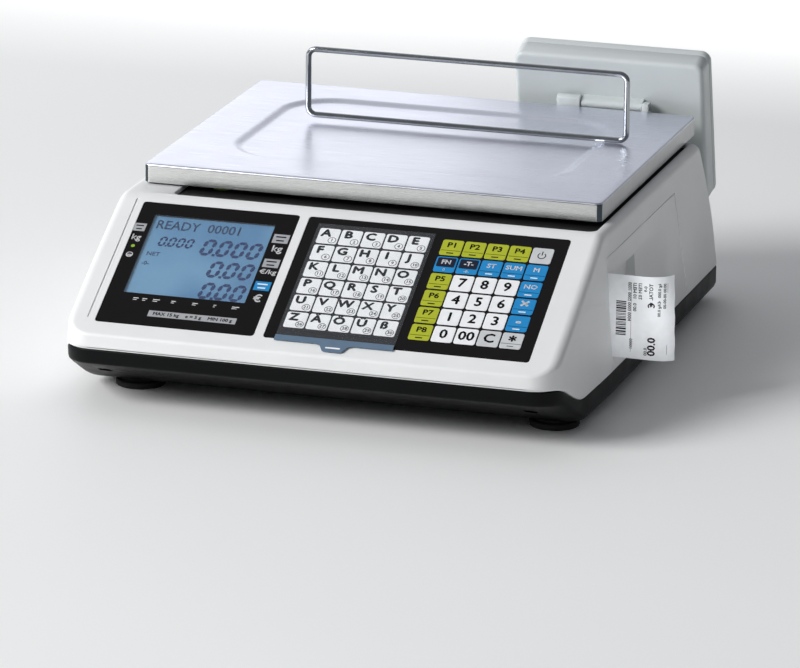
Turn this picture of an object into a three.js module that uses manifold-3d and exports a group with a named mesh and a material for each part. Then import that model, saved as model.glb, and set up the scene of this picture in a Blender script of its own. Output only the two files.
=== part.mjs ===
// Countertop retail price scale with a receipt printer and a rear customer display.
// Units are millimetres, +Z is up, +X is the operator's right and the operator stands at -Y.
// The group's origin is the centre of its footprint, on the surface that the feet stand on.
import * as THREE from 'three';
import { mergeVertices } from 'three/addons/utils/BufferGeometryUtils.js';
import Module from 'manifold-3d';

const wasm = await Module();
wasm.setup();

// ---------------------------------------------------------------- driving dimensions
const GAP = 0.3;                 // clearance between touching pieces
const WALL = 3;                  // moulded wall thickness
const CORNER = 22;               // plan radius of the body's front corners
const REAR_CORNER = 8;           // and of its rear ones
const PINCH = { from: -60, depth: 6, steps: 4 };   // the sides close in towards the front

const TOP_Z = 129;               // flat top of the housing
const SEAM_Z = 25.5;             // housing to base seam along the sides
const FRONT_SEAM_Z = 45.5;       // the same seam across the front
const SEAM_DROP = [[-218, 45.5], [-172, 27.5], [-160, 25.5]];   // between the two, as y and z
const TOP_HALF = 184;            // half width at the top
const SEAM_HALF = 192;           // half width at the side seam
const FRONT_Y = -228;
const REAR_LINE = [[25.5, 216], [62, 210.5], [84, 203], [129, 181]];   // rear wall, as z and y
const BASE_BOTTOM = 8;
const FLOOR_TOP = BASE_BOTTOM + WALL;
const FAR = 240;                 // past every face, for cutting blocks
const ABOVE = 140;               // clear of the housing's top

const SLOPE = THREE.MathUtils.degToRad(29.5);   // operator panel's slope
const CREASE_Y = -227;           // lower edge of the operator panel
const CREASE_Z = 57.4;
const CREASE_S = -137;           // that edge, measured down the slope from the windows' top

const WINDOW_LENGTH = 124.5;     // both windows, down the slope
const WINDOW_SHEET = 1.5;        // thickness of both windows, which lie flush with the panel
const WINDOW_CORNER = 2.2;
const LCD_WINDOW = [-162.5, -42.5];
const KEY_WINDOW = [-35, 162];
const LCD_GLASS = [-153, -55, -96, -9];         // x low, x high, slope low, slope high
const CARD = [-24.5, 61, -115.5, -9];
const COVER = [-26, 62.7, -127, -7];
const COVER_SHEET = [0.9, 1.7];                 // the cover's under and upper face over the panel
const COVER_TAB = [5.6, 32.6, -134];            // x low, x high, slope at its end
const GROOVE = { x: -167, s0: -121, s1: 3, width: 1.2, depth: 0.6 };
const KEY_TAIL = { x0: 70, x1: 100, s0: -20, s1: -16 };   // slot for the keypad's flat cable
const LCD_FACE = -2.2;           // front face of the crystal below the panel

const PAN = { x: 175, front: -74.4, rear: 199.8, top: 144.6, rim: 14, sheet: 1.5 };
const PAN_Y = (PAN.front + PAN.rear) / 2;
const DISH = { x0: -135, x1: 131, y0: -28, y1: 164, depth: 2.5, slope: 8, radius: 42 };
const PAN_CORNER = 5;
const RAIL = { x0: -103, x1: 147, y: 98, wire: 2.25, height: 51, bend: 6 };
const TRAY = { x0: -145, x1: 176, y0: -95, y1: 172, radius: 6 };   // opening in the top under the pan

const STUD_X = 95;               // pan studs and overload stops
const STUD_R = 6;
const STUD_Y = [PAN_Y - 82, PAN_Y + 82];
const SPIDER_Z = [98, 106];
const CELL = { x: 65, half: 15, z0: 45, z1: 67, eye: 8.5, eyeX: 13, slit: 3 };   // load cell bar
const VIAL = { x: -120, y: -55, r: 7 };
const COVER_Z = [123.2, 125.7];  // dust cover sheet
const FEET = [[-150, -152], [164, -152], [-150, 165], [164, 165]];
const CATCH = { x: [-160, 160], width: 10, z0: 21, z1: 24.5 };   // slots for the housing's catches
const FOOT = { r: 18.5, pad: 4.5, neck: 6.5, neckR: 14, stem: 4, top: 22 };
const BOSS_R = 9;                // threaded boss round each foot's stem
const CREASE_BASE = { y: -223.5, z: 33.5 };     // lower edge of the base's front band
const UNDER_FRONT = -170;        // where the slanted underside meets the flat bottom
const BOARD_Z = [16, 17.6];      // circuit boards on the floor
const PILLAR_R = 3;

const PAPER_Z = [37, 99];        // receipt paper, 62 wide, standing on edge
const PAPER_SHEET = 0.4;
const DECK_Z = [31, 33.5];       // printer frame's floor
const FRAME_X = [108.5, 169];
const FRAME_REAR = 72;
const FRAME_TOP = 106;
const DOOR = { front: -94, rear: 97, rearLow: 118, top: 110, bottom: 25.9 };   // rear edge leans back
const PLATEN = { x: 176, y: DOOR.front + 6.2, r: 6 };
const HEAD_WALL = PLATEN.y - 15; // front face of the printer frame's front wall
const ROLL = { x: 140, y: 38, r: 27, core: 6.3 };
const GRIP = { y0: -73, y1: -22, z0: 68, z1: 94.5, depth: 8, wall: 2.5 };   // finger recess
const LATCH = { y: GRIP.y0 + 9, z0: 71, z1: 75, reach: 8.5, hook: 15, travel: 5 };
const MODULE = 0.8;              // gear module
const TEETH = { platen: 20, idler: 30, pinion: 12 };
const GEAR_Z = [26, 30];
const ARBOR_R = 2;               // platen and idler arbors
const HINGE_PIN_R = 0.7;
const MESH_LINE = THREE.MathUtils.degToRad(147);   // platen to idler

const BATTERY = { x0: -174, x1: -104, y0: 36, y1: 137, height: 47 };
const INLET = { x: -135, z: 52, w: 28, h: 20 };
const PORTS = { x: -72, z: 50, w: 46, h: 18 };

const DISPLAY = { x: 103, half: 75.5, low: -85, high: 36.5, depth: 28, split: 18, corner: 7, wall: 2.5 };
const DISPLAY_WINDOW = { half: 64, low: -58, high: 24 };
const DISPLAY_TILT = THREE.MathUtils.degToRad(13.5);
const TILT_AXIS = { y: 206, z: 146 };
const FACE_OFFSET = 6.7;         // tilt axis to the display's operator-side face
const BRACKET_X = [64, 137];
const LUG_X = [83, 131];
const LUG_R = 3.9;
const TILT_PIN_R = 2;

// ---------------------------------------------------------------- solids
const halfWidth = (z) => TOP_HALF + ((TOP_Z - z) * (SEAM_HALF - TOP_HALF)) / (TOP_Z - SEAM_Z);
const pinched = (y) => PINCH.depth * (Math.max(PINCH.from - y, 0) / (PINCH.from - FRONT_Y)) ** 2;

// The rear wall's place at a height, along REAR_LINE and straight on past its ends.
function rearY(z) {
  const inner = REAR_LINE.slice(1, -1).filter(([height]) => height < z).length;
  const [[z0, y0], [z1, y1]] = [REAR_LINE[inner], REAR_LINE[inner + 1]];
  return y0 + ((z - z0) * (y1 - y0)) / (z1 - z0);
}

function solid(geometry) {
  geometry.deleteAttribute('normal');
  geometry.deleteAttribute('uv');
  const merged = mergeVertices(geometry, 1e-4);
  return new wasm.Manifold(new wasm.Mesh({
    numProp: 3,
    vertProperties: new Float32Array(merged.attributes.position.array),
    triVerts: new Uint32Array(merged.index.array),
  }));
}

function toGeometry(manifold) {
  const data = manifold.getMesh();
  const geometry = new THREE.BufferGeometry();
  geometry.setAttribute('position', new THREE.BufferAttribute(new Float32Array(data.vertProperties), 3));
  geometry.setIndex(new THREE.BufferAttribute(new Uint32Array(data.triVerts), 1));
  const flat = geometry.toNonIndexed();
  flat.computeVertexNormals();
  return flat;
}

const union = (...parts) => parts.reduce((sum, part) => sum.add(part));
const cut = (body, ...tools) => tools.reduce((rest, tool) => rest.subtract(tool), body);

function box(x0, x1, y0, y1, z0, z1, frame = null) {
  const geometry = new THREE.BoxGeometry(x1 - x0, y1 - y0, z1 - z0);
  geometry.translate((x0 + x1) / 2, (y0 + y1) / 2, (z0 + z1) / 2);
  if (frame) geometry.applyMatrix4(frame);
  return solid(geometry);
}

function rod(radius, from, to, sides = 20) {
  const a = new THREE.Vector3(...from);
  const b = new THREE.Vector3(...to);
  const geometry = new THREE.CylinderGeometry(radius, radius, a.distanceTo(b), sides);
  const direction = b.clone().sub(a).normalize();
  const turn = new THREE.Quaternion().setFromUnitVectors(new THREE.Vector3(0, 1, 0), direction);
  geometry.applyQuaternion(turn);
  const middle = a.add(b).multiplyScalar(0.5);
  geometry.translate(middle.x, middle.y, middle.z);
  return solid(geometry);
}

// A flat outline extruded along Z from z0 to z1.
function plate(points, z0, z1, frame = null) {
  const shape = new THREE.Shape(points.map(([x, y]) => new THREE.Vector2(x, y)));
  const geometry = new THREE.ExtrudeGeometry(shape, { depth: z1 - z0, bevelEnabled: false });
  geometry.translate(0, 0, z0);
  if (frame) geometry.applyMatrix4(frame);
  return solid(geometry);
}

// A side-view outline of (y, z) points extruded across X.
function profile(points, x0, x1) {
  const toSide = new THREE.Matrix4().makeBasis(
    new THREE.Vector3(0, 1, 0), new THREE.Vector3(0, 0, 1), new THREE.Vector3(1, 0, 0));
  return plate(points, x0, x1, toSide);
}

function roundedOutline(x0, x1, y0, y1, radius, steps = 5) {
  const centres = [[x1 - radius, y0 + radius, -90], [x1 - radius, y1 - radius, 0],
    [x0 + radius, y1 - radius, 90], [x0 + radius, y0 + radius, 180]];
  const points = [];
  for (const [cx, cy, start] of centres) {
    for (let i = 0; i <= steps; i += 1) {
      const angle = THREE.MathUtils.degToRad(start + (90 * i) / steps);
      points.push([cx + radius * Math.cos(angle), cy + radius * Math.sin(angle)]);
    }
  }
  return points;
}

// A solid through level outlines with equal point counts: [[z, outline], ...], lowest first.
function loft(levels, frame = null) {
  const count = levels[0][1].length;
  const vertices = levels.flatMap(([z, outline]) => outline.flatMap(([x, y]) => [x, y, z]));
  const index = [];
  const contour = levels[0][1].map(([x, y]) => new THREE.Vector2(x, y));
  const last = (levels.length - 1) * count;
  for (const [a, b, c] of THREE.ShapeUtils.triangulateShape(contour, [])) {
    index.push(c, b, a, last + a, last + b, last + c);
  }
  for (let level = 0; level < levels.length - 1; level += 1) {
    for (let i = 0; i < count; i += 1) {
      const a = level * count + i;
      const b = level * count + ((i + 1) % count);
      index.push(a, b, b + count, a, b + count, a + count);
    }
  }
  const geometry = new THREE.BufferGeometry();
  geometry.setAttribute('position', new THREE.Float32BufferAttribute(vertices, 3));
  geometry.setIndex(index);
  if (frame) geometry.applyMatrix4(frame);
  return solid(geometry);
}

function roundBlock(x0, x1, y0, y1, z0, z1, radius, frame = null, steps = 4) {
  return plate(roundedOutline(x0, x1, y0, y1, radius, steps), z0, z1, frame);
}

// ---------------------------------------------------------------- scene graph helpers
const scale = new THREE.Group();

function add(name, manifold, color, roughness, metalness, parent = scale) {
  const material = new THREE.MeshStandardMaterial({ color, roughness, metalness });
  const mesh = new THREE.Mesh(toGeometry(manifold), material);
  mesh.name = name;
  parent.add(mesh);
  return mesh;
}

function makeClear(mesh, opacity) {
  mesh.material.transparent = true;
  mesh.material.opacity = opacity;
}

const WHITE = 0xe4e7e9;
const BLACK = 0x17181a;
const STEEL = 0xc4c6cc;
const BOARD = 0x1d6b3c;
const CHROME = 0xd9dadd;
const PAPER = 0xf2f3f5;
const NYLON = 0xe8e4d8;
const DISPLAY_GREY = 0xc9cfce;

// Frame of the operator panel: X across, Y up the slope from the windows' top edge, Z outwards.
const panelFrame = new THREE.Matrix4().makeRotationX(SLOPE).setPosition(
  0,
  CREASE_Y - CREASE_S * Math.cos(SLOPE),
  CREASE_Z - CREASE_S * Math.sin(SLOPE));

// The panel's side-view line, sunk below the surface by a depth: its height at a given y.
const panelZ = (y, sunk) => CREASE_Z + (y - CREASE_Y) * Math.tan(SLOPE) - sunk / Math.cos(SLOPE);
const panelY = (z, sunk) => CREASE_Y + (z - CREASE_Z + sunk / Math.cos(SLOPE)) / Math.tan(SLOPE);

// ---------------------------------------------------------------- housing and base
// The body's plan outline: round front corners, sides that open out from them, tighter rear corners.
function bodyOutline(half, front, rear, inset) {
  const right = [];
  const arc = (x, y, radius, start, steps) => {
    for (let i = 0; i <= steps; i += 1) {
      const angle = THREE.MathUtils.degToRad(start + (90 * i) / steps);
      right.push([x + radius * Math.cos(angle), y + radius * Math.sin(angle)]);
    }
  };
  const side = half - inset;
  const cornerEnd = front + CORNER;
  arc(side - pinched(cornerEnd) - CORNER + inset, cornerEnd, CORNER - inset, -90, 5);
  for (let i = 1; i <= PINCH.steps; i += 1) {
    const y = cornerEnd + ((PINCH.from - cornerEnd) * i) / PINCH.steps;
    right.push([side - pinched(y), y]);
  }
  arc(half - REAR_CORNER, rear - REAR_CORNER, REAR_CORNER - inset, 0, 3);
  return [...right, ...right.map(([x, y]) => [-x, y]).reverse()];
}

function housingBlock(inset, low, high) {
  const heights = [low, ...REAR_LINE.slice(1, -1).map(([z]) => z), high];
  return loft(heights.map((z) => [z, bodyOutline(halfWidth(z), FRONT_Y, rearY(z), inset)]));
}

function housingProfile(sunk, bottom) {
  const top = TOP_Z - sunk;
  return profile([...bottom, [FAR, top], [panelY(top, sunk), top], [-FAR, panelZ(-FAR, sunk)]], -FAR, FAR);
}

// The seam runs high across the front and drops to the sides behind the front corners.
const seamLine = (drop) => [[-FAR, FRONT_SEAM_Z], ...SEAM_DROP, [FAR, SEAM_Z]].map(([y, z]) => [y, z - drop]);

const outerBody = housingBlock(0, FLOOR_TOP - 1, ABOVE).intersect(housingProfile(0, seamLine(0)));
const innerBody = housingBlock(WALL, FLOOR_TOP - 2, ABOVE).intersect(
  housingProfile(WALL, [[-FAR, BASE_BOTTOM], [FAR, BASE_BOTTOM]]));
const shell = outerBody.subtract(innerBody);

// A block through the rear wall, a gap larger all round than what stands in it.
function rearHole({ x, z, w, h }) {
  return box(x - w / 2 - GAP, x + w / 2 + GAP, 190, FAR, z - h / 2 - GAP, z + h / 2 + GAP);
}

// The printer door's side view, whose rear edge leans back, grown by a gap at the front, rear and top.
const doorSide = (front, rear, top, bottom) => profile([[DOOR.front - front, bottom],
  [DOOR.rearLow + rear, bottom], [DOOR.rear + rear, DOOR.top + top], [DOOR.front - front, DOOR.top + top]],
PLATEN.x - 25, FAR);

// The door's opening in the right wall. The receipt comes out through its gap at the front.
const doorOpening = union(doorSide(1.6, 1.2, 0.5, DOOR.bottom),
  box(PLATEN.x - 25, FAR, DOOR.front - 1.6, DOOR.rearLow + 1.2, 0, DOOR.bottom + 1));

function upperHousing() {
  const [under, over] = [-WALL * 3, WALL];
  const windows = [LCD_WINDOW, KEY_WINDOW].map(([x0, x1]) => roundBlock(
    x0 - GAP, x1 + GAP, -WINDOW_LENGTH - GAP, GAP, -WINDOW_SHEET - GAP, over,
    WINDOW_CORNER + GAP, panelFrame, 3));
  const lcdHole = box(...LCD_GLASS, under, over, panelFrame);
  const tailSlot = box(KEY_TAIL.x0, KEY_TAIL.x1, KEY_TAIL.s0, KEY_TAIL.s1, under, over, panelFrame);
  const groove = box(GROOVE.x - GROOVE.width / 2, GROOVE.x + GROOVE.width / 2, GROOVE.s0, GROOVE.s1,
    -GROOVE.depth, over, panelFrame);
  const trayHole = roundBlock(TRAY.x0, TRAY.x1, TRAY.y0, TRAY.y1, FRAME_TOP, ABOVE, TRAY.radius);
  const pinHole = rod(HINGE_PIN_R + GAP, hingePoint(DOOR.top - 4), hingePoint(DOOR.top + 7), 12);
  return cut(shell, ...windows, lcdHole, tailSlot, groove, trayHole, rearHole(INLET), rearHole(PORTS),
    doorOpening, pinHole);
}

// A point on the door's hinge line, which lies in the middle of the leaning side wall.
function hingePoint(z) {
  return [halfWidth(z) - WALL / 2, DOOR.rear - 3, z];
}

function baseTray() {
  const bandHigh = 60;
  const edge = 1.5;
  const slant = (z) => UNDER_FRONT
    + ((z - BASE_BOTTOM) * (CREASE_BASE.y - UNDER_FRONT)) / (CREASE_BASE.z - BASE_BOTTOM);
  const levels = (inset) => [
    [BASE_BOTTOM + inset, SEAM_HALF - edge, UNDER_FRONT, rearY(SEAM_Z) - edge],
    [BASE_BOTTOM + 4 + inset / 2, SEAM_HALF, slant(BASE_BOTTOM + 4), rearY(SEAM_Z)],
    [CREASE_BASE.z, halfWidth(CREASE_BASE.z) - GAP, CREASE_BASE.y, rearY(CREASE_BASE.z) - GAP],
    [FRONT_SEAM_Z, halfWidth(FRONT_SEAM_Z) - GAP, FRONT_Y + GAP, rearY(FRONT_SEAM_Z) - GAP],
    [bandHigh, halfWidth(bandHigh) - GAP, FRONT_Y + GAP, rearY(bandHigh) - GAP],
  ].map(([z, half, front, rear]) => [z, bodyOutline(half, front + inset, rear - inset, inset)]);
  const limits = profile([[-FAR, 0], [FAR, 0], ...seamLine(GAP + 0.1).reverse()], -FAR, FAR);
  const outer = loft(levels(0)).intersect(limits);
  const hollow = loft(levels(WALL));
  let tray = outer.subtract(hollow);
  for (const [x, y] of FEET) {
    tray = tray.add(rod(BOSS_R, [x, y, BASE_BOTTOM], [x, y, FOOT.top - 2]));
    tray = tray.subtract(rod(FOOT.stem + GAP, [x, y, 0], [x, y, FOOT.top + 8], 16));
  }
  const hatch = box(BATTERY.x0 - GAP, BATTERY.x1 + GAP, BATTERY.y0 - GAP, BATTERY.y1 + GAP,
    0, FLOOR_TOP + 0.5);
  const pinHole = rod(HINGE_PIN_R + GAP, hingePoint(DOOR.bottom - 6.4), hingePoint(DOOR.bottom + 3), 12);
  const slots = CATCH.x.map((x) => box(
    x - CATCH.width / 2, x + CATCH.width / 2, -FAR, UNDER_FRONT - 10, CATCH.z0, CATCH.z1));
  return cut(tray, hatch, pinHole, ...slots);
}

function dustCover() {
  let cover = roundBlock(TRAY.x0 - 4, TRAY.x1 + 3, TRAY.y0 - 4, TRAY.y1 + 3, ...COVER_Z, 14);
  for (const x of [-STUD_X, STUD_X]) {
    for (const y of STUD_Y) {
      const collar = rod(STUD_R * 2, [x, y, COVER_Z[0] + 0.8], [x, y, TOP_Z - 1]);
      cover = cut(cover.add(collar), rod(STUD_R + 3, [x, y, SPIDER_Z[1]], [x, y, ABOVE]));
    }
  }
  return cut(cover, rod(VIAL.r + 0.4, [VIAL.x, VIAL.y, SPIDER_Z[1]], [VIAL.x, VIAL.y, ABOVE]));
}

add('upper_housing', upperHousing(), WHITE, 0.45, 0);
add('base_tray', baseTray(), BLACK, 0.5, 0);
add('dust_cover', dustCover(), BLACK, 0.6, 0);
FEET.forEach(([x, y], i) => {
  const pad = rod(FOOT.r, [x, y, 0], [x, y, FOOT.pad], 28);
  const neck = rod(FOOT.neckR, [x, y, FOOT.pad], [x, y, FOOT.neck], 28);
  const stem = rod(FOOT.stem, [x, y, FOOT.neck - 0.5], [x, y, FOOT.top], 16);
  add(`foot_${i + 1}`, union(pad, neck, stem), BLACK, 0.8, 0);
});

// ---------------------------------------------------------------- operator panel
const panel = new THREE.Group();
panel.applyMatrix4(panelFrame);
scale.add(panel);

const sheet = ([x0, x1, s0, s1], n0, n1, radius) => roundBlock(x0, x1, s0, s1, n0, n1, radius);

function cardCover() {
  const [x0, x1, s0] = COVER;
  const [t0, t1, end] = COVER_TAB;
  const tab = plate([[t0, s0 + 1], [t0 + 6, end], [t1 - 6, end], [t1, s0 + 1]], ...COVER_SHEET);
  return sheet([x0, x1, s0, COVER[3]], ...COVER_SHEET, 2).add(tab);
}

function lcdModule() {
  const [x0, x1, s0, s1] = LCD_GLASS;
  const glass = box(x0 + 0.5, x1 - 0.5, s0 + 0.5, s1 - 0.5, LCD_FACE - 2.8, LCD_FACE);
  return glass.add(box(x0 - 5, x1 + 5, s0 - 5, s1 + 5, LCD_FACE - 7.3, LCD_FACE - 2.6));
}

function keypadBoard() {
  let board = box(-30, 158, -119, -4, -6.4, -4.8);
  for (const x of [-15, 25, 65, 105]) {
    board = board.add(box(x, x + 15, -70, -55, -9.5, -6));
  }
  return board;
}

const windowSheet = (window) => sheet([...window, -WINDOW_LENGTH, 0], -WINDOW_SHEET, 0, WINDOW_CORNER);
add('lcd_window', windowSheet(LCD_WINDOW), BLACK, 0.15, 0, panel);
add('lcd_module', lcdModule(), 0x7f9fc4, 0.4, 0, panel);
add('keypad_overlay', windowSheet(KEY_WINDOW), 0x232121, 0.4, 0, panel);
add('preset_card', sheet(CARD, GAP, COVER_SHEET[0] - GAP, 1.5), PAPER, 0.6, 0, panel);
makeClear(add('card_cover', cardCover(), 0x8fa3b4, 0.15, 0, panel), 0.4);
add('keypad_board', keypadBoard(), BOARD, 0.6, 0, panel);

// ---------------------------------------------------------------- weighing platform
function weighingPan() {
  const { x, front, rear, top, rim, sheet: thick } = PAN;
  const outer = roundBlock(-x, x, front, rear, top - rim, top, PAN_CORNER);
  const under = roundBlock(-x + thick, x - thick, front + thick, rear - thick,
    top - rim - 1, top - thick, PAN_CORNER - thick);
  const bowl = (extra, high) => loft([
    [top - DISH.depth - extra, roundedOutline(DISH.x0 + DISH.slope - extra, DISH.x1 - DISH.slope + extra,
      DISH.y0 + DISH.slope - extra, DISH.y1 - DISH.slope + extra, DISH.radius - DISH.slope, 7)],
    [high, roundedOutline(DISH.x0 - extra, DISH.x1 + extra,
      DISH.y0 - extra, DISH.y1 + extra, DISH.radius, 7)]]);
  return cut(union(outer.subtract(under), bowl(thick, top - 0.5)), bowl(0, top));
}

// A closed loop of round wire standing in the XZ plane.
function guardRail() {
  const bottom = PAN.top + GAP + RAIL.wire;
  const path = roundedOutline(RAIL.x0, RAIL.x1, bottom, bottom + RAIL.height, RAIL.bend, 5);
  const sides = 10;
  const vertices = [];
  const index = [];
  path.forEach(([x, z], i) => {
    const before = path[(i + path.length - 1) % path.length];
    const after = path[(i + 1) % path.length];
    const along = new THREE.Vector2(after[0] - before[0], after[1] - before[1]).normalize();
    for (let j = 0; j < sides; j += 1) {
      const angle = (2 * Math.PI * j) / sides;
      const out = RAIL.wire * Math.cos(angle);
      vertices.push(x + along.y * out, RAIL.y + RAIL.wire * Math.sin(angle), z - along.x * out);
      const next = ((i + 1) % path.length) * sides;
      const a = i * sides + j;
      const b = i * sides + ((j + 1) % sides);
      index.push(a, b, next + j, b, next + ((j + 1) % sides), next + j);
    }
  });
  const geometry = new THREE.BufferGeometry();
  geometry.setAttribute('position', new THREE.Float32BufferAttribute(vertices, 3));
  geometry.setIndex(index);
  return solid(geometry);
}

function panSpider() {
  const [z0, z1] = SPIDER_Z;
  let spider = roundBlock(-40, 75, PAN_Y - 30, PAN_Y + 30, z0, z1, 8);
  for (const x of [-STUD_X, STUD_X]) {
    for (const y of STUD_Y) {
      const length = Math.hypot(x, y - PAN_Y);
      const arm = new THREE.Matrix4().makeRotationZ(Math.atan2(y - PAN_Y, x)).setPosition(0, PAN_Y, 0);
      spider = spider.add(box(0, length, -7, 7, z0, z1, arm)).add(rod(9, [x, y, z0], [x, y, z1]));
    }
  }
  return spider;
}

function loadCell() {
  const { x: end, half, z0, z1, eye, eyeX, slit } = CELL;
  const middle = (z0 + z1) / 2;
  const [near, far] = [PAN_Y - half - 5, PAN_Y + half + 5];
  const block = box(-end, end, PAN_Y - half, PAN_Y + half, z0, z1);
  const eyes = [-eyeX, eyeX].map((x) => rod(eye, [x, near, middle], [x, far, middle]));
  return cut(block, ...eyes, box(-eyeX, eyeX, near, far, middle - slit, middle + slit));
}

// A block 30 long under or over one end of the load cell.
function cellSpacer(end, z0, z1) {
  const x0 = end < 0 ? -CELL.x : CELL.x - 30;
  return box(x0, x0 + 30, PAN_Y - CELL.half, PAN_Y + CELL.half, z0 + GAP, z1 - GAP);
}

add('weighing_pan', weighingPan(), STEEL, 0.3, 1);
add('guard_rail', guardRail(), CHROME, 0.1, 1);
add('pan_spider', panSpider(), 0x9a9ca0, 0.5, 1);
add('load_cell', loadCell(), 0xb4b6ba, 0.4, 1);
add('load_cell_base_spacer', cellSpacer(-1, FLOOR_TOP, CELL.z0), STEEL, 0.5, 1);
add('load_cell_top_spacer', cellSpacer(1, CELL.z1, SPIDER_Z[0]), STEEL, 0.5, 1);
[[0, 0], [1, 0], [0, 1], [1, 1]].forEach(([right, back], i) => {
  const x = right ? STUD_X : -STUD_X;
  const y = STUD_Y[back];
  const stud = rod(STUD_R, [x, y, SPIDER_Z[1] + GAP], [x, y, PAN.top - PAN.sheet - DISH.depth - GAP], 16);
  const nut = rod(8, [x, y, FLOOR_TOP + GAP], [x, y, FLOOR_TOP + 6], 6);
  const stop = nut.add(rod(4, [x, y, FLOOR_TOP + 5], [x, y, SPIDER_Z[0] - 1.2], 12));
  add(`pan_stud_${i + 1}`, stud, 0x2a2a2c, 0.8, 0);
  add(`overload_stop_${i + 1}`, stop, STEEL, 0.4, 1);
});
const vial = rod(VIAL.r, [VIAL.x, VIAL.y, 118], [VIAL.x, VIAL.y, COVER_Z[1] + 1.3]);
add('level_vial', vial, 0xb7d98a, 0.1, 0);

// ---------------------------------------------------------------- electronics
// A circuit board on four pillars, one near each corner.
function boardOnPillars(x0, x1, y0, y1, inset) {
  let board = box(x0, x1, y0, y1, ...BOARD_Z);
  for (const x of [x0 + inset, x1 - inset]) {
    for (const y of [y0 + inset, y1 - inset]) {
      board = board.add(rod(PILLAR_R, [x, y, FLOOR_TOP + GAP], [x, y, BOARD_Z[0] + 0.5], 10));
    }
  }
  return board;
}

function mainBoard() {
  const onBoard = BOARD_Z[0] + 1;
  let board = boardOnPillars(-155, -20, -140, -35, 7);
  for (let x = -145; x <= -45; x += 25) {
    board = board.add(box(x, x + 17, -110, -90, onBoard, onBoard + 3));
  }
  return board.add(box(-140, -60, -60, -50, onBoard, onBoard + 10));
}

function powerBoard() {
  const onBoard = BOARD_Z[0] + 1;
  let board = boardOnPillars(0, 85, 105, 180, 6);
  for (let x = 18; x <= 62; x += 22) {
    board = board.add(rod(7, [x, 160, onBoard], [x, 160, onBoard + 25], 14));
  }
  return board.add(box(12, 70, 118, 121, onBoard, onBoard + 28));
}

function transformer() {
  const core = box(-75, -15, 138, 158, FLOOR_TOP + GAP, 60);
  return core.add(box(-65, -25, 125, 171, 20, 51));
}

function mainsInlet() {
  const { x, z, w, h } = INLET;
  const wall = rearY(z - h / 2 - 2);
  const block = box(x - w / 2, x + w / 2, 178, wall + 1, z - h / 2, z + h / 2);
  const flange = box(x - w / 2 - 3, x + w / 2 + 3, wall + 0.8, wall + 3, z - h / 2 - 2, z + h / 2 + 2);
  const socket = roundBlock(x - 12, x + 12, z - 8, z + 8, -wall - 5, -wall + 15, 3,
    new THREE.Matrix4().makeRotationX(Math.PI / 2));
  let inlet = cut(union(block, flange), socket);
  for (const [dx, dz] of [[-7, -2], [0, 2.5], [7, -2]]) {
    inlet = inlet.add(box(x + dx - 1, x + dx + 1, wall - 16, wall - 1, z + dz - 2.5, z + dz + 2.5));
  }
  return inlet;
}

function interfacePorts() {
  const { x, z, w, h } = PORTS;
  const wall = rearY(z);
  const block = box(x - w / 2, x + w / 2, 185, wall + 0.8, z - h / 2, z + h / 2);
  const reach = 5.5;
  const holes = [-15, 0, 15].map((dx) => box(
    x + dx - reach, x + dx + reach, wall - 12, wall + 5, z - reach, z + reach));
  return cut(block, ...holes);
}

const { x0: bx0, x1: bx1, y0: by0, y1: by1 } = BATTERY;
const batteryTop = FLOOR_TOP + GAP + BATTERY.height;
const terminals = [bx0 + 12, bx0 + 28].map((x) => box(
  x, x + 6, by0 + 6, by0 + 8, batteryTop - 1, batteryTop + 7));
const batteryCase = box(bx0 + 1, bx1 - 1, by0 + 1, by1 - 1, FLOOR_TOP + GAP, batteryTop);
const latchRib = box((bx0 + bx1) / 2 - 10, (bx0 + bx1) / 2 + 10, by0 + 4, by0 + 8, 7.2, BASE_BOTTOM + 1);
add('main_board', mainBoard(), BOARD, 0.6, 0);
add('power_board', powerBoard(), BOARD, 0.6, 0);
add('transformer', transformer(), 0x6a5a3a, 0.6, 0.4);
add('mains_inlet', mainsInlet(), BLACK, 0.5, 0);
add('interface_ports', interfacePorts(), 0x3a3c40, 0.5, 0.3);
add('battery', union(batteryCase, ...terminals), 0x2c2e33, 0.6, 0);
add('battery_cover', box(bx0, bx1, by0, by1, BASE_BOTTOM, FLOOR_TOP).add(latchRib), BLACK, 0.5, 0);

// ---------------------------------------------------------------- receipt printer
const idlerCentre = (() => {
  const reach = (MODULE * (TEETH.platen + TEETH.idler)) / 2 + GAP;
  return [PLATEN.x + reach * Math.cos(MESH_LINE), PLATEN.y + reach * Math.sin(MESH_LINE)];
})();
const pinionCentre = [idlerCentre[0] - (MODULE * (TEETH.idler + TEETH.pinion)) / 2 - GAP, idlerCentre[1]];

// A spur gear whose first tooth points along the given angle.
function gear([x, y], teeth, toothAngle, bore) {
  const pitch = (2 * Math.PI) / teeth;
  const radius = (MODULE * teeth) / 2;
  const flanks = [[-0.27, -0.95], [-0.1, 0.65], [0.1, 0.65], [0.27, -0.95]];
  const outline = [];
  for (let i = 0; i < teeth; i += 1) {
    for (const [turn, height] of flanks) {
      const angle = toothAngle + (i + turn) * pitch;
      outline.push([x + (radius + height) * Math.cos(angle), y + (radius + height) * Math.sin(angle)]);
    }
  }
  return plate(outline, ...GEAR_Z).subtract(rod(bore, [x, y, 0], [x, y, 50], 12));
}

const idlerPhase = MESH_LINE + Math.PI + Math.PI / TEETH.idler;
// Where the idler's nearest tooth stands off the line to the pinion, as a part of a tooth pitch.
const idlerOffset = ((Math.PI - idlerPhase) * TEETH.idler) / (2 * Math.PI);
const pinionPhase = (idlerOffset - Math.floor(idlerOffset) + 0.5) * ((2 * Math.PI) / TEETH.pinion);

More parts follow.
